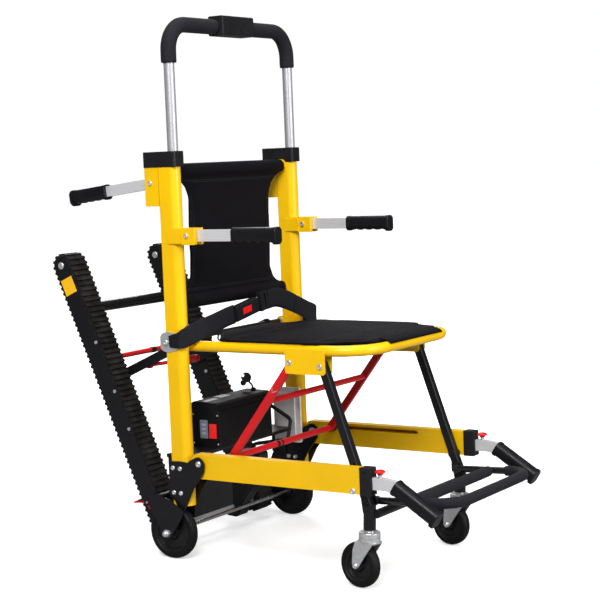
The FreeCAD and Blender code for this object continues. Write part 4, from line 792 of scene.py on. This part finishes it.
# ------------------------------------------------------------ small pieces
def slab(name, corners, thickness, direction, material, body, bevel=0.0):
    """Four corners in row metres, extruded along direction."""
    bm = bmesh.new()
    face = bm.faces.new([bm.verts.new(p) for p in corners])
    extruded = bmesh.ops.extrude_face_region(bm, geom=[face])["geom"]
    verts = [v for v in extruded if isinstance(v, bmesh.types.BMVert)]
    bmesh.ops.translate(bm, verts=verts, vec=direction * thickness)
    bmesh.ops.recalc_face_normals(bm, faces=bm.faces)
    if bevel:
        bmesh.ops.bevel(bm, geom=list(bm.edges), offset=bevel, segments=2, affect="EDGES")
    finish_bmesh(name, bm, material, body)


def side_quad(x, y0, y1, z0, z1):
    return [place(x, y, z) for y, z in ((y0, z0), (y1, z0), (y1, z1), (y0, z1))]


def cross_quad(x0, x1, y0, y1, z0, z1):
    """Edge along x at (y0, z0), and the opposite one at (y1, z1)."""
    return [place(x0, y0, z0), place(x1, y0, z0), place(x1, y1, z1), place(x0, y1, z1)]


def charge_display():
    slab("charge_display", side_quad(-107.0, 34.6, 57.4, 256, 300), 0.0012, -X, GLASS, "root",
         bevel=0.0003)
    for i, z in enumerate((266, 276, 286), 1):
        slab("display_bar_%d" % i, side_quad(-108.2, 40, 52, z, z + 5), 0.0003, -X, FOIL, "root")


def lid_labels():
    for i, box in enumerate(((-100, -54, 40, 55, 342.0, 342.5),
                             (-36, 4, 46, 68, 342.2, 342.9)), 1):
        slab("lid_label_%d" % i, cross_quad(*box), 0.0004, UP, FOIL, "root")


def track_labels():
    """Blank square label on the outer face of each track."""
    station, half = 622, 20             # mm along the track, half length
    half_across = 18
    foot = Vector((0, *SPROCKET))
    along = (Vector((0, *TRACK_TOP)) - foot).normalized()
    across = Vector((0, along.z, -along.y))
    centre = foot + along * station
    signs = ((-1, -1), (-1, 1), (1, 1), (1, -1))
    corners = [centre + along * (a * half) + across * (b * half_across) for a, b in signs]
    for side, sign in SIDES:
        slab("track_label_" + side, [Vector((sign * 210.82, p.y, p.z)) / 1000 for p in corners],
             0.0004, X * sign, CAUTION, "tracks")


def screws():
    """Heads facing -X on the controller and battery, numbered in one run."""
    # name, x, ys, zs in leaned mm; radius and height in metres
    groups = (("controller", 201.4, (-14, 52), (203, 327), 0.0028, 0.0016),
              ("battery", -108.5, (6, 76), (244, 312), 0.0024, 0.0014))
    turn = Vector((0, 0, 1)).rotation_difference(-X).to_matrix().to_4x4()
    number = 0
    for name, x, ys, zs, radius, height in groups:
        for z in zs:
            for y in ys:
                number += 1
                bm = bmesh.new()
                bmesh.ops.create_cone(bm, cap_ends=True, segments=20, radius1=radius,
                                      radius2=radius * 0.75, depth=height)
                turn.translation = place(x, y, z)
                bmesh.ops.transform(bm, matrix=turn, verts=bm.verts)
                finish_bmesh("%s_screw_%d" % (name, number), bm, ZINC, "root")


def brake_springs():
    """Return spring of each brake pedal: four turns along x, in row metres."""
    steps, coil_radius, wire_radius = 64, 0.0042, 0.0006
    for side, sign in SIDES:
        points = [Vector((sign * (0.2500 - 0.0125 * t / steps),
                          0.107 + coil_radius * math.cos(t * math.pi / 8),
                          0.125 + coil_radius * math.sin(t * math.pi / 8)))
                  for t in range(steps + 1)]
        tube_along("brake_spring_" + side, points, wire_radius, ZINC, "root")


def control_ribs():
    for i in range(9):
        z = 1196.5 + i * 4.3
        slab("control_rib_%d" % (i + 1), cross_quad(-40, 40, -27, -27, z, z + 1.4),
             0.0006, -REAR, ABS, "push_handle")


def brace_lines():
    """Pale chevron of two strokes on the outer face of each red brace."""
    station, half_height, width = 82, 8.2, 1.6
    top = Vector((0, *BRACE_TOP))
    along = Vector((0, BRACE_FOOT[0] - top.y, BRACE_FOOT[1] - top.z)).normalized()
    across = Vector((0, -along.z, along.y))
    middle = top + along * station
    for side, sign in SIDES:
        for j, edge in enumerate((-1, 1), 1):
            tail = middle + across * (edge * half_height) - along * 6
            tip = middle + along * 5
            corners = (tail, tail + along * width, tip + along * width, tip)
            slab("brace_line_%s_%d" % (side, j),
                 [place(sign * 211.52, p.y, p.z) for p in corners],
                 0.00025, X * sign, FOIL, "brace")


def tube_bands():
    """Dark clamp bands on the red tubes, along x."""
    # name, centre x, (y, z), radius, length in leaned mm; body
    for name, x, centre, radius, length, body in (
            ("tie_rod_band", -17.4, (262, 448), 7.3, 18, "tracks"),
            ("brace_tube_band_1", -27.3, BRACE_FOOT, 8.6, 9, "brace"),
            ("brace_tube_band_2", -27.3 + 16, BRACE_FOOT, 8.6, 5, "brace")):
        points = [place(x - length / 2 + length * i / 8.0, *centre) for i in range(9)]
        tube_along(name, points, radius / 1000.0, NYLON, body)


charge_display()
lid_labels()
track_labels()
screws()
brake_springs()
control_ribs()
brace_lines()
tube_bands()

# ------------------------------------------------------------ stage, light, camera
VIEW_TURN = math.radians(56.585)        # the view and the floor are turned by this about z


def floor_material():
    """Pale to the camera and brighter far out; mid grey to the light it bounces."""
    s = Shader("studio_floor")
    blotch = s.noise(scale=3)
    distance = s.add("VectorMath", {0: s.coords}, operation="LENGTH").outputs["Value"]
    seen = s.add("LightPath").outputs["Is Camera Ray"]
    glow = s.times(s.remap(distance, span=(0.9, 2.6), to=(0.42, 1.1)), seen)
    pale = s.mix(s.remap(blotch, span=(0.3, 0.7)), (0.90, 0.90, 0.905), (0.885, 0.885, 0.89))
    bounce = (0.30, 0.30, 0.30)
    return s.finish(Base_Color=s.mix(seen, bounce, pale), Roughness=0.9,
                    Specular_IOR_Level=0.1, Emission_Color=(1.0, 1.0, 1.0),
                    Emission_Strength=glow)


def build_floor():
    """Floor that curves up into a wall behind the chair."""
    material = floor_material()
    half, bend_start, bend, wall_top = 12, 3.0, 2.2, 9
    profile = [(-half, 0), (bend_start, 0)]
    for degrees in range(9, 91, 9):
        a = math.radians(degrees)
        profile.append((bend_start + bend * math.sin(a), bend - bend * math.cos(a)))
    profile.append((bend_start + bend, wall_top))
    mesh = bpy.data.meshes.new("floor")
    mesh.from_pydata([(x, y, z) for y, z in profile for x in (-half, half)], [],
                     [(i, i + 1, i + 3, i + 2) for i in range(0, 2 * len(profile) - 2, 2)])
    shade_smooth(mesh)
    mesh.materials.append(material)
    floor = new_object("floor", mesh)
    floor.rotation_euler = (0, 0, VIEW_TURN)


def build_world():
    """White to the camera, dim as a light."""
    world = bpy.data.worlds.new("studio")
    scene.world = world
    world.use_nodes = True
    tree = world.node_tree
    background = tree.nodes["Background"]
    background.inputs["Color"].default_value = (1, 1, 1, 1)
    path = tree.nodes.new("ShaderNodeLightPath")
    strength = tree.nodes.new("ShaderNodeMapRange")
    strength.inputs["To Min"].default_value = 0.10
    strength.inputs["To Max"].default_value = 1.02
    tree.links.new(path.outputs["Is Camera Ray"], strength.inputs["Value"])
    tree.links.new(strength.outputs["Result"], background.inputs["Strength"])


def aim(obj, direction):
    obj.rotation_mode = "QUATERNION"
    obj.rotation_quaternion = direction.to_track_quat("-Z", "Y")


def area_light(name, at, target, size, power, size_y=None):
    light = bpy.data.lights.new(name, "AREA")
    light.energy = power
    light.size = size
    if size_y:
        light.shape = "RECTANGLE"
        light.size_y = size_y
    obj = new_object(name, light)
    obj.location = at
    aim(obj, Vector(target) - Vector(at))


def build_camera():
    target, distance, rise = Vector((0, -0.1410, 0.5834)), 3.6743, math.radians(6.675)
    camera = bpy.data.cameras.new("camera")
    obj = new_object("camera", camera)
    camera.sensor_width = 36
    camera.lens = 95.22
    camera.clip_end = 60
    camera.clip_start = 0.05
    toward = Vector((math.sin(-VIEW_TURN) * math.cos(rise),
                     -math.cos(-VIEW_TURN) * math.cos(rise), math.sin(rise)))
    obj.location = target + toward * distance
    aim(obj, -toward)
    scene.camera = obj


build_floor()
build_world()
area_light("key", at=(-2.9, -1.2, 2.7), target=(0, 0, 0.5), size=1.5, power=150, size_y=2.0)
area_light("fill", at=(0.2, -3.6, 1.7), target=(0, -0.1, 0.5), size=1.6, power=90)
area_light("top", at=(0.2, 0.2, 3.6), target=(0, 0, 0), size=2.2, power=60)
area_light("rim", at=(2.4, 2.2, 2.2), target=(0, 0, 0.6), size=1.2, power=40)
scene.view_settings.view_transform = "Standard"
build_camera()
